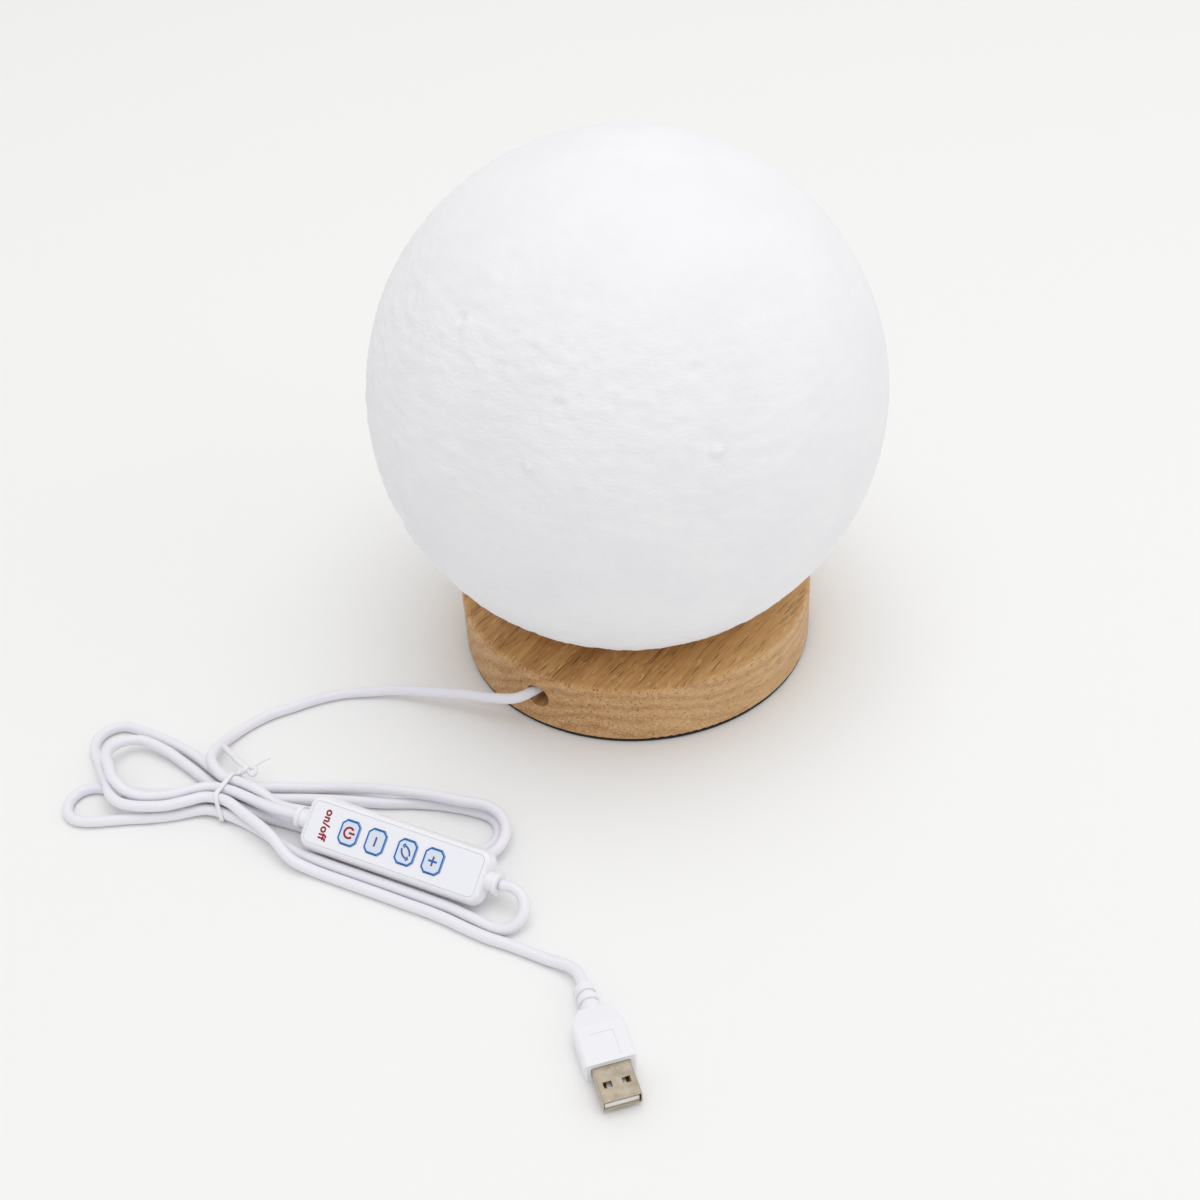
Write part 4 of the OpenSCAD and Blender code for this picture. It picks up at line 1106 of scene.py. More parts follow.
@dataclass
class MoonGlobe:
    """The printed globe with craters and rough uplands.

    Attributes:
        radius: outer radius.
        wall: thickness of the print.
        foot_radius: radius of the flat ring below.
        base_h: height of the wood that it stands on.
        columns, rows: faces round and down the outside.
        inner_rows: faces down the inside.
        free_from: degrees above the flat ring from which the relief has its full height.
        sea: width of the calmer and rougher lands.
        relief: height of the uplands' lumps.
        lump: width of those lumps.
        streak: how often they are as narrow along each axis, because layers are level.
        crater_cells: distance between craters of each size, and their depth and rim.
        crater_reach: smallest and largest radius of a crater in its cell.
        placed: the plainest marks: azimuth and height in degrees, radius, depth, which is
            negative for a bump, and rim.
        seed: seed of the pattern.
    """

    radius: float = 90.0
    wall: float = 2.0
    foot_radius: float = 38.0
    base_h: float = 25.0
    columns: int = 420
    rows: int = 212
    inner_rows: int = 12
    free_from: float = 4.0
    sea: float = 60.0
    relief: float = 1.6
    lump: float = 8.0
    streak: tuple[float, float, float] = (1.0, 1.0, 2.4)
    crater_cells: tuple = ((38.0, 0.35, 0.20), (17.0, 0.22, 0.14), (8.0, 0.16, 0.10))
    crater_reach: tuple[float, float] = (0.07, 0.34)
    placed: tuple = ((-73.6, 19.4, 2.3, -0.9, -0.2), (-112.8, 17.1, 2.0, -0.8, -0.15),
                     (-138.7, 41.4, 2.2, 0.6, 0.2), (-142.4, 36.0, 1.7, 0.5, 0.2),
                     (-106.6, 30.2, 2.2, 0.4, 0.3), (-122.1, 35.7, 1.9, 0.3, 0.2),
                     (-128.3, 33.8, 1.7, -0.4, 0.0), (-71.3, 38.2, 1.8, -0.3, 0.0))
    seed: int = 4

    def centre(self) -> float:
        """Height of the globe's middle."""
        return self.base_h + math.sqrt(self.radius ** 2 - self.foot_radius ** 2)

    def shell(self) -> Object:
        """Make the plain shell with its flat ring.

        Returns:
            The shell; its attribute "free" is 1 where the relief may grow.
        """
        mid, inner, n = self.centre(), self.radius - self.wall, self.columns
        stop = math.pi - math.asin(self.foot_radius / self.radius)
        outside = np.linspace(0, stop, self.rows + 1)[1:]
        inside = np.linspace(math.acos((self.base_h - mid) / inner), 0, self.inner_rows,
                             endpoint=False)
        verts, faces = turned([(r * math.sin(a), mid + r * math.cos(a))
                               for r, polar in ((self.radius, outside), (inner, inside))
                               for a in polar], n)
        # Both poles are closed by triangles in place of one large face.
        last = len(verts) - n
        faces = faces[:-2] + [(last + n, (k + 1) % n, k) for k in range(n)]
        faces += [(last + n + 1, last + k, last + (k + 1) % n) for k in range(n)]
        verts += [(0, 0, mid + self.radius), (0, 0, mid + inner)]
        piece = mesh_piece("moon_globe_printed", verts, faces, GLOBE_PRINT.build())
        grows = np.minimum(1.0, (stop - outside) / math.radians(self.free_from))
        free = np.append(np.repeat(np.append(grows, 0.0 * inside), n), [1.0, 0.0])
        mark = piece.data.attributes.new("free", "FLOAT", "POINT")
        mark.data.foreach_set("value", free.astype(np.float32))
        return piece

    def crater(self, tree: NodeTree, distance: Source, depth: object, rim: object) -> Node:
        """Height of a crater: a bowl inside, a raised rim at 1 and its slope outside.

        Args:
            tree: geometry tree.
            distance: distance from the middle in crater radii.
            depth: depth of the bowl, a number or socket.
            rim: height of the rim, a number or socket.

        Returns:
            The node that gives the height.
        """
        sunk = add_node(tree, "Math", depth, -1.0, operation="MULTIPLY")
        bowl, rise, fall = (
            add_node(tree, "MapRange", distance, *span, interpolation_type="SMOOTHSTEP")
            for span in ((0.35, 1.0, sunk, 0.0), (0.7, 1.0, 0.0, rim), (1.0, 1.8, 1.0, 0.0)))
        edge = add_node(tree, "Math", rise, fall, operation="MULTIPLY")
        return add_node(tree, "Math", bowl, edge)

    def tree(self) -> NodeTree:
        """Make the relief tree: lumps and three sizes of crater where the land is rough.

        Returns:
            The tree.
        """
        sockets = {"Radius": "Float", "Centre Height": "Float", "Relief": "Float",
                   "Lump Width": "Float", "Streak": "Vector", "Seed": "Float",
                   "Finish": "Material"}
        parts = {"Place": "Vector", "Radius": "Float", "Depth": "Float", "Rim": "Float"}
        for number in range(len(self.placed)):
            sockets.update({f"Crater {number} {part}": kind for part, kind in parts.items()})
        tree, sizes = geometry_tree("moon_relief", sockets)
        here = add_node(tree, "GeometryNodeInputPosition")
        middle = add_node(tree, "CombineXYZ", {"Z": sizes["Centre Height"]})
        arm = add_node(tree, "VectorMath", here, middle, operation="SUBTRACT")
        facing = add_node(tree, "VectorMath", arm, operation="NORMALIZE")
        ball = add_node(tree, "VectorMath", facing, sizes["Radius"], operation="SCALE")
        where = add_node(tree, "VectorMath", ball, sizes["Seed"])
        sea = add_node(tree, "TexNoise", where, per(self.sea), {"Detail": 1.0})
        land = add_node(tree, "MapRange", sea, 0.4, 0.58, 0.75, 1.15)
        rough = add_node(tree, "Math", land, print_share(tree, facing), operation="MULTIPLY")
        width = add_node(tree, "Math", 1.0, sizes["Lump Width"], operation="DIVIDE")
        level = add_node(tree, "VectorMath", where, sizes["Streak"], operation="MULTIPLY")
        lumps = add_node(tree, "TexNoise", level, width, {"Detail": 4.0, "Roughness": 0.62})
        swell = add_node(tree, "Math", lumps, -0.5)
        total = add_node(tree, "Math", swell, sizes["Relief"], operation="MULTIPLY")
        for cell, depth, rim in self.crater_cells:
            cells = add_node(tree, "TexVoronoi", where, per(cell), {"Randomness": 0.85})
            drawn = add_node(tree, "FunctionNodeSeparateColor", cells.outputs["Color"])
            reach = add_node(tree, "MapRange", drawn, 0.0, 1.0, *self.crater_reach)
            share = add_node(tree, "Math", cells, reach, operation="DIVIDE")
            total = add_node(tree, "Math", total, self.crater(tree, share, depth * MM, rim * MM))
        total = add_node(tree, "Math", total, rough, operation="MULTIPLY")
        for number in range(len(self.placed)):
            place, radius, depth, rim = (sizes[f"Crater {number} {part}"] for part in parts)
            far = add_node(tree, "VectorMath", ball, place, operation="DISTANCE")
            share = add_node(tree, "Math", far, radius, operation="DIVIDE")
            total = add_node(tree, "Math", total, self.crater(tree, share, depth, rim))
        free = add_node(tree, "GeometryNodeInputNamedAttribute", "free", data_type="FLOAT")
        grown = add_node(tree, "Math", total, free, operation="MULTIPLY")
        shift = add_node(tree, "VectorMath", facing, grown, operation="SCALE")
        made = add_node(tree, "GeometryNodeSetPosition", sizes["Geometry"], {"Offset": shift})
        end_tree(tree, made, sizes["Finish"])
        return tree

    def dress(self) -> None:
        """Grow the relief on the shell and put the globe in place of its solid."""
        piece = self.shell()
        values: dict[str, object] = {
            "Radius": self.radius * MM, "Centre Height": self.centre() * MM,
            "Relief": self.relief * MM, "Lump Width": self.lump * MM,
            "Streak": Vector(self.streak), "Seed": float(self.seed),
            "Finish": piece.data.materials[0]}
        for number, (azimuth, height, *sizes) in enumerate(self.placed):
            a, e = math.radians(azimuth), math.radians(height)
            place = Vector((math.cos(e) * math.cos(a), math.cos(e) * math.sin(a), math.sin(e)))
            values[f"Crater {number} Place"] = place * self.radius * MM
            for part, size in zip(("Radius", "Depth", "Rim"), sizes):
                values[f"Crater {number} {part}"] = size * MM
        run_tree(piece, self.tree(), values)
        piece.data.attributes.remove(piece.data.attributes["free"])
        close_up(piece)
        finish_piece(piece, "globe", Slot.GLOBE, "moon_globe")
        LOG.info("globe: %d faces", len(piece.data.polygons))


# ---------------------------------------------------------------- solids and foot pad

@dataclass(frozen=True)
class CadDress:
    """Finishes of the solids whose shape is right as it is."""

    plan: tuple = (
        (RUBBERWOOD, ("wood_base",)),
        (ABS_INNER, ("lamp_holder", "cord_clamp")),
        (ZINC, ("key_switches",)),
        (WHITE_MASK, ("led_board",)),
        (ABS_SHELL, ("controller_bottom", "controller_top")),
        (FACE_FILM, ("controller_label",)),
        (GREEN_MASK, ("controller_board",)),
        (EPOXY, ("controller_chips",)),
        (PLUG_PVC, ("plug_body",)),
        (NICKEL, ("plug_shell",)),
        (TONGUE_PBT, ("plug_tongue",)),
        (GOLD, ("plug_contacts",)),
    )

    def dress(self) -> None:
        """Give each solid its finish."""
        for finish, nodes in self.plan:
            material = finish.build()
            for node in nodes:
                paint(frame["nodes"][node].data, material)
            LOG.info("%s: %s", finish.name, ", ".join(nodes))


@dataclass(frozen=True)
class FootPad:
    """The foam pad under the wood, its edge pressed outwards by the weight.

    Attributes:
        radius: its radius where it is widest.
        height: its thickness.
        edge: inset and share of the height of each line of its edge, from below.
        sides: its sides.
    """

    radius: float = 65.6
    height: float = 1.5
    edge: tuple = ((1.0, 0.0), (0.3, 0.08), (0.0, 0.35), (0.0, 0.7), (0.2, 0.93), (0.8, 1.0))
    sides: int = 160

    def dress(self) -> None:
        """Put the pad in place of its solid."""
        profile = [(self.radius - inset, share * self.height) for inset, share in self.edge]
        piece = mesh_piece("foam_pad_pressed", *turned(profile, self.sides), EVA_FOAM.build())
        finish_piece(piece, "base", Slot.PAD, "base_pad")
        LOG.info("foot pad: 1 piece")


# ---------------------------------------------------------------- lamp head and screws

@dataclass
class LampHead:
    """Lights, screws and solder joints on the holder, and the clamp's screws.

    Attributes:
        base_h: height of the wood's top.
        board_top: height of the light board's top.
        post_ring, light_ring, holder_ring: radii of the rings of screws and lights.
        lights: number of lights.
        joint_ring: radius of the ring of the two solder joints.
        clamp_at: place of the clamp's middle along the cord's hole.
        clamp_ring, clamp_z: distance of its screws from there, and height of their heads.
        lengths: lengths of the screws of holder, board and clamp.
        head_d, head_h: size of a screw's head.
        core_d, shank_d: diameters of a screw's core and thread.
        pitch: distance between two threads.
        cross: reach and half width of the arms of a screw's recess.
        light_half: half the side of a light's housing.
    """

    base_h: float = 25.0
    board_top: float = 29.6
    post_ring: float = 25.08
    light_ring: float = 18.58
    holder_ring: float = 18.08
    lights: int = 12
    joint_ring: float = 4.0
    clamp_at: tuple[float, float] = (41.0, 1.2)
    clamp_ring: float = 6.5
    clamp_z: float = 14.5
    lengths: tuple[float, float, float] = (7.5, 6.6, 5.0)
    head_d: float = 4.2
    head_h: float = 1.5
    core_d: float = 1.64
    shank_d: float = 2.2
    pitch: float = 0.7
    cross: tuple[float, float] = (1.15, 0.24)
    light_half: float = 2.5

    def screw(self, length: float, flip: bool = False) -> Object:
        """Make one pan-head screw with a cross recess and a threaded shank.

        Args:
            length: length of its shank.
            flip: head downwards.

        Returns:
            The screw, its head standing on z = 0.
        """
        r, h = self.head_d / 2, self.head_h
        # From below: the tip, the thread turn by turn, the neck, and the domed head.
        profile = [(0.3, -length), (0.8, 0.6 - length)]
        for z in np.arange(0.9 - length, -self.pitch, self.pitch):
            profile += [(self.core_d / 2, z), (self.shank_d / 2, z + self.pitch / 2)]
        profile += [(0.9, 0), (r, 0), (r, 0.45 * h), (0.82 * r, 0.86 * h), (0.5 * r, h)]
        piece = mesh_piece("screw", *turned(profile, 16), ZINC.build(), False)
        recess = self.recess()
        cutter = piece.modifiers.new("recess", "BOOLEAN")
        cutter.object, cutter.operation, cutter.solver = recess, "DIFFERENCE", "EXACT"
        piece.data = evaluated(piece)
        piece.modifiers.clear()
        bpy.data.objects.remove(recess)
        close_up(piece, Matrix.Scale(-1, 4, (0, 0, 1)) if flip else None)
        return piece

    def recess(self) -> Object:
        """Make the cross that is cut into a screw's head.

        Returns:
            The cutter.
        """
        a, b = self.cross
        outline = np.array([(x * c - y * s, x * s + y * c)
                            for c, s in ((1, 0), (0, 1), (-1, 0), (0, -1))
                            for x, y in ((a, b), (b, b), (b, a))])
        rings = [np.column_stack([outline * share, np.full(len(outline), z)])
                 for share, z in ((0.7, 0.6), (1.0, self.head_h + 0.2))]
        return mesh_piece("recess", *loft(rings), ZINC.build(), False)

    def housing(self) -> Object:
        """Make a light's white square housing with a round well.

        Returns:
            The housing, standing on z = 0.
        """
        flat = circle(self.light_half, 32)
        flat *= self.light_half / np.abs(flat).max(axis=1)[:, None]
        rings = [np.column_stack([flat * share, np.full(len(flat), z)])
                 for share, z in ((1.0, 0.0), (1.0, 1.45), (0.96, 1.6))]
        # The last two rings lead down into the well.
        rings += [ring(1.95, 1.6, len(flat)), ring(1.65, 1.1, len(flat))]
        return mesh_piece("housing", *loft(rings), LED_BODY.build(), False)

    def lens(self) -> Object:
        """Make the yellow lens in a light's well."""
        dome = ((1.6, 1.05), (1.72, 1.3), (1.3, 1.42), (0.5, 1.48))
        return mesh_piece("lens", *turned(dome, 24), PHOSPHOR.build())

    def solder(self) -> Object:
        """Make one low dome of solder."""
        dome = ((1.1, 0), (1.05, 0.25), (0.75, 0.55), (0.3, 0.7))
        return mesh_piece("solder", *turned(dome, 16), SOLDER.build())

    def dress(self) -> None:
        """Put lights, screws and solder in place."""
        places = (
            ("holder", RingOfCopies(3, self.holder_ring, self.base_h), None),
            ("board", RingOfCopies(3, self.post_ring, self.board_top, 60.0), None),
            ("clamp", RingOfCopies(2, self.clamp_ring, self.clamp_z, 90.0),
             BORE.matrix(*self.clamp_at)),
        )
        for (what, spread, matrix), length in zip(places, self.lengths):
            screw = self.screw(length, matrix is not None)
            piece = spread.build(f"{what}_screw_set", screw, matrix)
            finish_piece(piece, "base", Slot.STEEL, f"{what}_screws")
            LOG.info("%s: %d screws", what, spread.count)
        for name, copy in (("light_housings", self.housing()), ("light_lenses", self.lens())):
            piece = RingOfCopies(self.lights, self.light_ring, self.board_top).build(name, copy)
            finish_piece(piece, "base", Slot.LED, "leds")
        joints = RingOfCopies(2, self.joint_ring, self.board_top, 30.0)
        finish_piece(joints.build("solder_joints", self.solder()), "base", Slot.BOARD)
        LOG.info("lamp head: %d lights, %d solder joints", self.lights, joints.count)


# ---------------------------------------------------------------- control

class Sign(Enum):
    """Signs printed on the keys."""

    POWER = "key_power"
    MINUS = "key_minus"
    MODE = "key_mode"
    PLUS = "key_plus"


@dataclass
class ControlPrint:
    """Print on the control's keys and face, and the keys' films.

    Attributes:
        key_x: places of the keys' middles.
        key_half: half of a key's width and length.
        cut: length of a key's cut corner.
        line: width of the outline.
        stroke: width of the lines of minus and plus.
        arm: half the length of those lines.
        power: radius and line width of the power sign's arc.
        bar: length and width of its bar.
        swirl: half width and half length of the two turning arrows.
        swirl_turn: their lean on the key, in degrees.
        swirl_line: width of their arcs and of their heads.
        swirl_head: half the width and the length of an arrow's head.
        text_at: middle of the words on the face.
        text: size of the letters, how far they are made bolder, and their spacing.
        key_top, face_top: heights of the key and of the face.
        ink: thickness of the ink over the film.
    """

    key_x: tuple[float, ...] = (-16.6, -6.4, 5.2, 15.4)
    key_half: tuple[float, float] = (3.55, 4.2)
    cut: float = 1.5
    line: float = 0.5
    stroke: float = 0.66
    arm: float = 1.62
    power: tuple[float, float] = (1.75, 0.72)
    bar: tuple[float, float] = (2.2, 0.7)
    swirl: tuple[float, float] = (1.3, 2.25)
    swirl_turn: float = 38.0
    swirl_line: tuple[float, float] = (0.6, 0.5)
    swirl_head: tuple[float, float] = (0.68, 0.6)
    text_at: tuple[float, float] = (-25.9, 0.1)
    text: tuple[float, float, float] = (4.1, 0.135, 1.06)
    key_top: float = 4.6
    face_top: float = 4.25
    ink: float = 0.05

    def outline(self) -> list[tuple[float, float]]:
        """Middle line of the blue outline, just inside the key's edge.

        Returns:
            Its corners.
        """
        inset = self.line / 2 + 0.02
        a, b = self.key_half[0] - inset, self.key_half[1] - inset
        c = self.cut - inset * (2 - math.sqrt(2))
        return [(a, b - c), (a - c, b), (c - a, b), (-a, b - c),
                (-a, c - b), (c - a, -b), (a - c, -b), (a, c - b)]

    def swirls(self) -> list[tuple[Points, float]]:
        """Lines of the mode sign: two leaning arcs, each with an arrow's head.

        Returns:
            Lines as points and width.
        """
        lines = []
        lean = np.array(Matrix.Rotation(math.radians(self.swirl_turn), 2))
        wide, ahead = self.swirl_head
        arc = circle_part(1.0, -52, 66, 13) * self.swirl
        for turn in (1, -1):
            leant = turn * arc @ lean.T
            tip = leant[-1]
            run = unit(tip - leant[-2])
            across = np.array([-run[1], run[0]])
            head = [tip - across * wide, tip + run * ahead, tip + across * wide]
            lines += zip((leant, head), self.swirl_line)
        return lines

    def strokes(self, sign: Sign) -> list[tuple[Points, float]]:
        """Lines of a sign.

        Args:
            sign: the sign.

        Returns:
            Lines as points and width.
        """
        across = ([(0, -self.arm), (0, self.arm)], self.stroke)
        upright = ([(-self.arm, 0), (self.arm, 0)], self.stroke)
        radius, width = self.power
        power = (circle_part(radius, 42, 318, 25), width)
        bar = ([(0, 0), (self.bar[0], 0)], self.bar[1])
        return {Sign.MINUS: [across], Sign.PLUS: [across, upright], Sign.POWER: [power, bar],
                Sign.MODE: self.swirls()}[sign]

    def printed(self, name: str, lines: Iterable[tuple[Points, float]], x: float,
                material: Material, joined: bool = False) -> Object:
        """Make printed lines on a key, each a little higher than the one before.

        Args:
            name: the piece's name.
            lines: lines as points and width.
            x: place of the key's middle.
            material: the ink.
            joined: each line runs back to its first point.

        Returns:
            The piece.
        """
        skins = [ribbon(points, width, self.key_top - self.ink,
                        self.key_top + self.ink * (1 + 0.1 * number), joined)
                 for number, (points, width) in enumerate(lines)]
        piece = mesh_piece(name, *gather(skins), material, False)
        close_up(piece, CONTROL.matrix(x))
        return piece

    def words(self, material: Material) -> Object:
        """Make the words on the face, read from the far side to the near side.

        Args:
            material: the ink.

        Returns:
            The words as a mesh.
        """
        text = bpy.data.curves.new("on_off_words", "FONT")
        text.body, text.align_x, text.align_y = "on/off", "CENTER", "CENTER"
        text.size, text.offset, text.space_character = self.text
        text.extrude, text.resolution_u = self.ink, 6
        shape = put("on_off_words", text)
        mesh = evaluated(shape)
        bpy.data.objects.remove(shape)
        paint(mesh, material)
        piece = put("on_off_words", mesh)
        spot = CONTROL.matrix(*self.text_at, self.face_top)
        close_up(piece, spot @ Matrix.Rotation(-math.pi / 2, 4, "Z") @ Matrix.Scale(MM, 4))
        return piece

    def dress(self) -> list[Object]:
        """Print keys and face.

        Returns:
            The printed pieces.
        """
        blue, red = BLUE_INK.build(), RED_INK.build()
        pieces = []
        for sign, x in zip(Sign, self.key_x):
            film = KeyFilm(f"polyester_{sign.value}_film", "#E0E0E6", 0.34, ior=1.57,
                           grain_mm=0.4, relief_mm=0.004, x=x, half=self.key_half)
            paint(frame["nodes"][sign.value].data, film.build())
            ink = red if sign is Sign.POWER else blue
            for piece in (
                    self.printed(f"{sign.value}_outline", [(self.outline(), self.line)], x, blue,
                                 True),
                    self.printed(f"{sign.value}_sign", self.strokes(sign), x, ink)):
                finish_piece(piece, sign.value, Slot.KEY)
                pieces.append(piece)
        words = self.words(red)
        finish_piece(words, "base", Slot.LABEL)
        LOG.info("control: 4 key films, %d prints, words", len(pieces))
        return [*pieces, words]


# ---------------------------------------------------------------- tie and leads

@dataclass
class Tie:
    """The twist tie: flat band round the cord and a twisted end with two tails.

    Attributes:
        width: width of the band.
        thick: its thickness.
        gap: gap round the cord.
        lean: how far the band leans along the cord at its near and far edge.
        bow: how far its middle bows the other way.
        reach: sideways distance at which lean is full and bow is none.
        knot_from, knot_to: ends of the twisted stretch, along, sideways and up.
        strand_r: radius of the twist about its middle.
        knot_turn: turn of the twist from end to end, in degrees.
        curl_at, curl_r: middle and radius of the curled end.
    """

    width: float = 1.8
    thick: float = 0.8
    gap: float = 0.15
    lean: tuple[float, float] = (3.4, 0.8)
    bow: float = 0.7
    reach: float = 9.0
    knot_from: tuple[float, float, float] = (0.3, 7.8, 7.6)
    knot_to: tuple[float, float, float] = (3.2, 9.8, 8.9)
    strand_r: float = 0.55
    knot_turn: float = 540.0
    curl_at: tuple[float, float, float] = (5.0, 9.9, 9.6)
    curl_r: float = 1.7

    def loop(self, cords: CordSet) -> np.ndarray:
        """Middle line of the band round the cord's two layers.

        Args:
            cords: the cord that it holds.

        Returns:
            Its points.
        """
        r = cords.diameter / 2 + self.gap + self.thick / 2
        low, high = cords.low_side, cords.high_side
        line = []
        for v, z, start, stop in (
                (low[0], cords.low_z, 152, 270), (low[3], cords.low_z, 270, 388),
                (high[2], cords.high_z, 28, 90), (high[0], cords.high_z, 90, 152)):
            for y, up in circle_part(r, start, stop, 9) + (v, z):
                share = abs(y) / self.reach
                lean = self.lean[0 if y < 0 else 1] * share ** 3 - self.bow * (1 - share ** 2)
                line.append(TIE.level(lean, y, up))
        return np.array(line)

    def band(self, cords: CordSet, film: Material) -> Object:
        """Make the band round the cord's two layers.

        Args:
            cords: the cord that it holds.
            film: its finish.

        Returns:
            The band.
        """
        line, turn = self.loop(cords), math.radians(TIE.turn)
        axis = np.array([math.cos(turn), math.sin(turn), 0.0])
        # A shallow groove runs along the middle of its outer side, between two ridges.
        profile = np.array([(-1, 0), (-0.85, 0.7), (-0.45, 1), (0, 0.75), (0.45, 1), (0.85, 0.7),
                            (1, 0), (0.85, -0.7), (0, -0.9), (-0.85, -0.7)])
        flat = profile * (self.width / 2, self.thick / 2)
        rings = []
        for before, point, after in zip(np.roll(line, 1, 0), line, np.roll(line, -1, 0)):
            out = np.cross(unit(after - before), axis)
            rings.append(point + flat[:, :1] * axis + flat[:, 1:] * out)
        piece = mesh_piece("twist_tie_band", *loft(rings, True), film)
        close_up(piece)
        return piece

    def twisted(self, phase: float) -> list[np.ndarray]:
        """Points of one strand in the twist.

        Args:
            phase: angle in degrees that it starts from.

        Returns:
            Its points, along, sideways and up.
        """
        start, stop = np.array(self.knot_from), np.array(self.knot_to)
        run = unit(stop - start)
        side = unit(np.cross(run, [0, 0, 1]))
        up = np.cross(side, run)
        shares = np.linspace(0, 1, 11)
        arms = circle_part(self.strand_r, phase, phase + self.knot_turn, len(shares))
        return [start + (stop - start) * t + a * side + b * up
                for t, (a, b) in zip(shares, arms)]

    def strip(self, name: str, points: Points, half: tuple[float, float], twist: float,
              film: Material) -> Object:
        """Make a strip that follows points in the tie's own directions.

        Args:
            name: the piece's name.
            points: points along, sideways and up.
            half: half of its width and thickness.
            twist: turn from its start to its end, in degrees.
            film: its finish.

        Returns:
            The strip.
        """
        path = spline([TIE.level(*p) for p in points], 0.4)
        flat = np.array([(-1, 0), (-0.7, 0.8), (0, 1), (0.7, 0.8),
                         (1, 0), (0.7, -0.8), (0, -1), (-0.7, -0.8)]) * half
        turns = np.radians(np.linspace(0, twist, len(path)))
        return mesh_piece(name, *sweep(path, flat, turns), film)

    def dress(self, cords: CordSet) -> list[Object]:
        """Put the tie in place of its solid.

        Args:
            cords: the cord that it holds.

        Returns:
            The pieces.
        """
        film = TIE_FILM.build()
        u, v, z = self.curl_at
        # The curl is a flattened ring that leans and sinks as it runs round.
        curl = [(u + x, v + 0.64 * y, z + 0.77 * y - 0.25 * i)
                for i, (x, y) in enumerate(circle_part(self.curl_r, 200, 500, 9))]
        strips = (
            ("twist", self.twisted(0), (0.7, 0.5), 300),
            ("long_tail", [self.knot_to, (1.6, 10.6, 9.2), (-2.2, 12.2, 8.4), (-8, 15.4, 6.9),
                           (-15, 19.2, 5.4)], (1.1, 0.32), 50),
            ("short_tail", [*self.twisted(180), *curl], (0.7, 0.55), 400),
            ("wire", [curl[-1], (6.6, 12.6, 10.4), (9.4, 15.7, 11.3)], (0.24, 0.24), 0))
        pieces = [self.band(cords, film)]
        pieces += [self.strip(f"twist_tie_{name}", *plan, film) for name, *plan in strips]
        for piece in pieces:
            finish_piece(piece, "base", Slot.TIE, "twist_tie")
        LOG.info("tie: %d pieces", len(pieces))
        return pieces


@dataclass
class Leads:
    """The two leads inside the foot.

    Attributes:
        diameter: diameter of a lead.
        apart: distance of each from their middle.
        sides: sides of a lead.
    """

    diameter: float = 1.3
    apart: float = 0.9
    sides: int = 12

    def dress(self) -> None:
        """Make the leads in place of their solid, from the clamp up to the board."""
        cover, profile = LEAD_PVC.build(), circle(self.diameter / 2, self.sides)
        for name, s in (("lead_left", -self.apart), ("lead_right", self.apart)):
            route = [BORE.level(*p) for p in (
                (37.9, 1.2 + s, 14.5), (30, s, 13.5), (18, s, 13.5), (6, s, 13.5), (3.2, s, 15),
                (1.5, s, 27.8))]
            piece = mesh_piece(name, *sweep(spline(route, 1.0), profile), cover)
            finish_piece(piece, "base", Slot.LEAD, "lead_wires")
        LOG.info("leads: 2")


@dataclass(frozen=True)
class PlugDimples:
    """The two small dimples pressed into the plug's metal.

    Attributes:
        from_body: their distance from the moulded body.
        sides: their places across the plug.
        top: height of the metal's top over the plug's middle.
        radius: their radius.
        rise: how far they stand out.
        sunk: how deep they reach into the metal.
        dome: shares of radius and height of each line of a dimple.
    """

    from_body: float = 1.5
    sides: tuple[float, float] = (-1.3, 1.3)
    top: float = 2.25
    radius: float = 0.5
    rise: float = 0.16
    sunk: float = 0.05
    dome: tuple = ((1.0, 0.0), (0.95, 0.35), (0.7, 0.75), (0.35, 0.95), (0.1, 1.0))

    def dress(self) -> Object:
        """Make the dimples.

        Returns:
            The dimples.
        """
        low, height = self.top - self.sunk, self.rise + self.sunk
        verts, faces = turned([(self.radius * r, low + height * z) for r, z in self.dome], 20)
        skins = [((np.array(verts) + (self.from_body, side, 0)).tolist(), faces)
                 for side in self.sides]
        piece = mesh_piece("plug_dimples", *gather(skins), NICKEL.build())
        close_up(piece, PLUG.matrix())
        finish_piece(piece, "base", Slot.PLUG)
        LOG.info("plug: 2 dimples")
        return piece


# ---------------------------------------------------------------- camera, floor and light

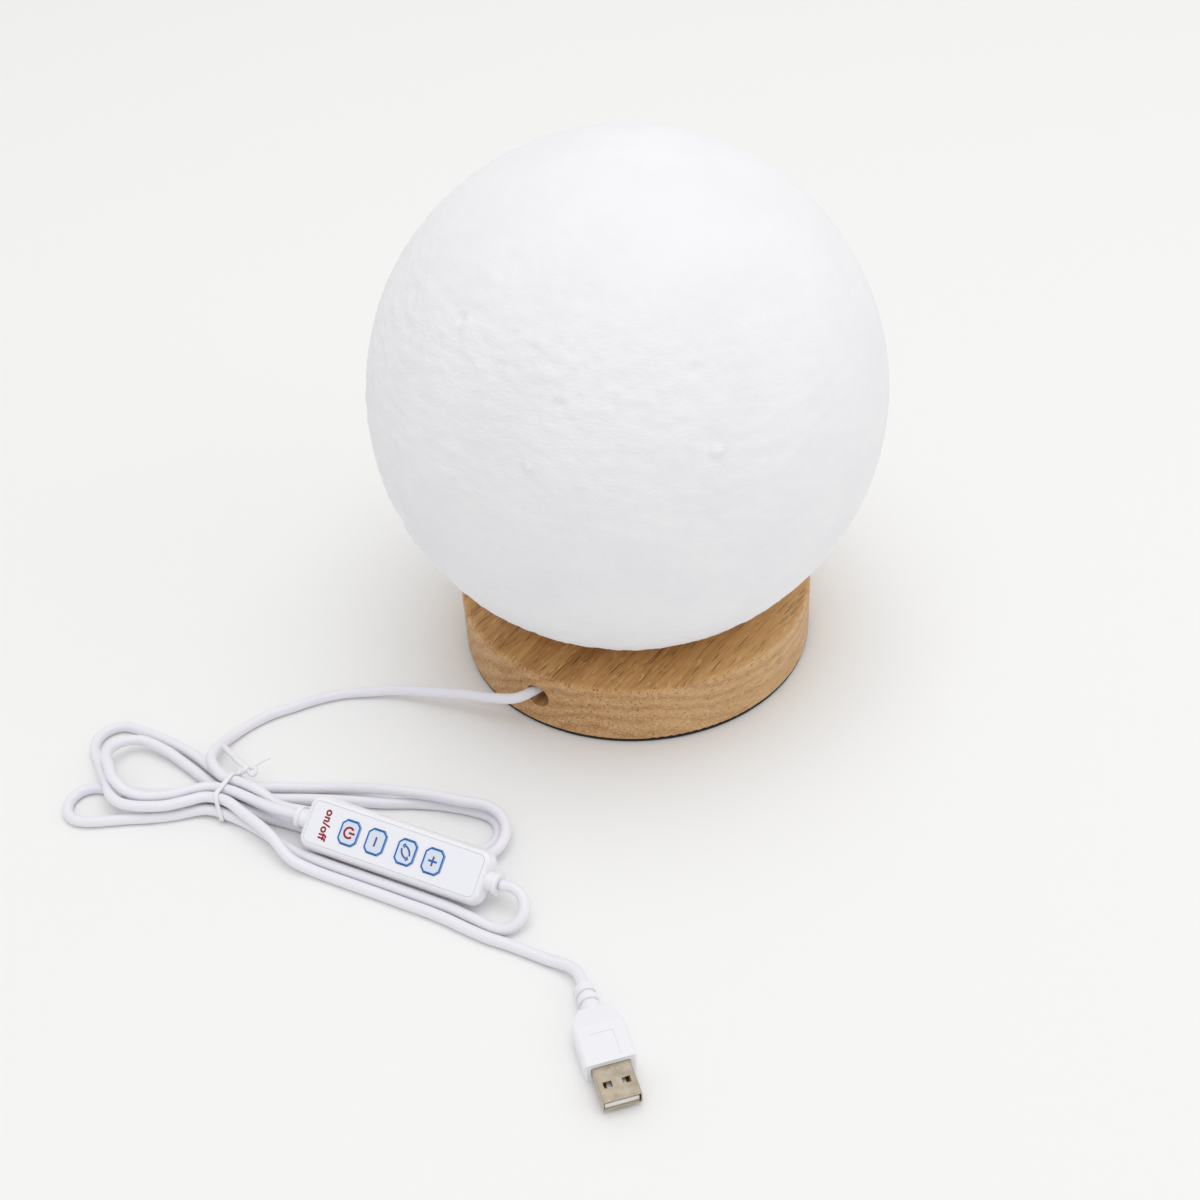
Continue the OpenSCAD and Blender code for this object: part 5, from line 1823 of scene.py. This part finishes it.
@dataclass(frozen=True)
class Studio:
    """Plain pale floor, soft light and the camera at the photograph's angle.

    Attributes:
        camera_at: place of the camera in millimetres.
        right, up, forward: its axes.
        lens: focal length on a 36 mm sensor.
        floor: the floor's colour.
        floor_size: side of the floor in millimetres.
        sky: strength of the world.
        lamps: name, place and aim in metres, side in metres and power of each lamp.
    """

    camera_at: tuple = (-13.961, -495.344, 429.988)
    right: tuple = (0.99802633, -0.04047203, -0.04801524)
    up: tuple = (0.06279688, 0.64321906, 0.76310274)
    forward: tuple = (0.0, 0.76461184, -0.64449107)
    lens: float = 50.586
    floor: str = "#F3F3F2"
    floor_size: float = 8000.0
    sky: float = 0.74
    lamps: tuple = (("key_light", (0.2, -0.1, 2.5), (0.0, 0.0, 0.05), 2.0, 19.5),
                    ("fill_light", (1.8, -0.7, 1.3), (-0.05, -0.05, 0.05), 1.4, 3.0))

    def build(self) -> None:
        """Make camera, floor, lamps and world."""
        scene = bpy.context.scene
        data = bpy.data.cameras.new("camera")
        data.lens, data.sensor_width = self.lens, 36.0
        data.clip_start, data.clip_end = 0.01, 20.0
        camera = put("camera", data)
        back = [-v for v in self.forward]
        turn = Matrix((self.right, self.up, back)).transposed().to_4x4()
        camera.matrix_world = Matrix.Translation(Vector(self.camera_at) * MM) @ turn
        scene.camera = camera
        half = self.floor_size / 2
        corners = [(-half, -half, 0), (half, -half, 0), (half, half, 0), (-half, half, 0)]
        # Matt pale paper with hardly any gloss: only the object's soft shadow shows on it.
        paper = Finish("matt_floor_paper", self.floor, 0.95, blotch=0.02).build()
        mesh_piece("floor", corners, [(0, 1, 2, 3)], paper, False)
        world = bpy.data.worlds.new("studio")
        world.use_nodes = True
        backdrop = world.node_tree.nodes["Background"]
        backdrop.inputs["Color"].default_value = (1, 1, 1, 1)
        backdrop.inputs["Strength"].default_value = self.sky
        scene.world = world
        scene.view_settings.view_transform = "Standard"
        for name, at, aim, size, watts in self.lamps:
            light = bpy.data.lights.new(name, "AREA")
            light.size, light.energy = size, watts
            lamp = put(name, light)
            lamp.location = at
            lamp.rotation_euler = (Vector(aim) - Vector(at)).to_track_quat("-Z", "Y").to_euler()


def main() -> None:
    """Build the dressed lamp."""
    logging.basicConfig(level=logging.INFO, format="%(name)s: %(message)s")
    Studio().build()
    cords = CordSet()
    cords.build()
    CadDress().dress()
    FootPad().dress()
    MoonGlobe().dress()
    LampHead().dress()
    printed = ControlPrint().dress()
    tie = Tie().dress(cords)
    Leads().dress()
    nodes = frame["nodes"]
    control = [nodes[n] for n in (
        "controller_bottom", "controller_top", "controller_label", "key_power", "key_minus",
        "key_mode", "key_plus", "controller_board", "key_switches", "controller_chips")]
    plug = [nodes[n] for n in ("plug_body", "plug_shell", "plug_tongue", "plug_contacts")]
    cords.declare([*control, *printed, *tie], [*plug, PlugDimples().dress()])


if __name__ == "__main__":
    main()
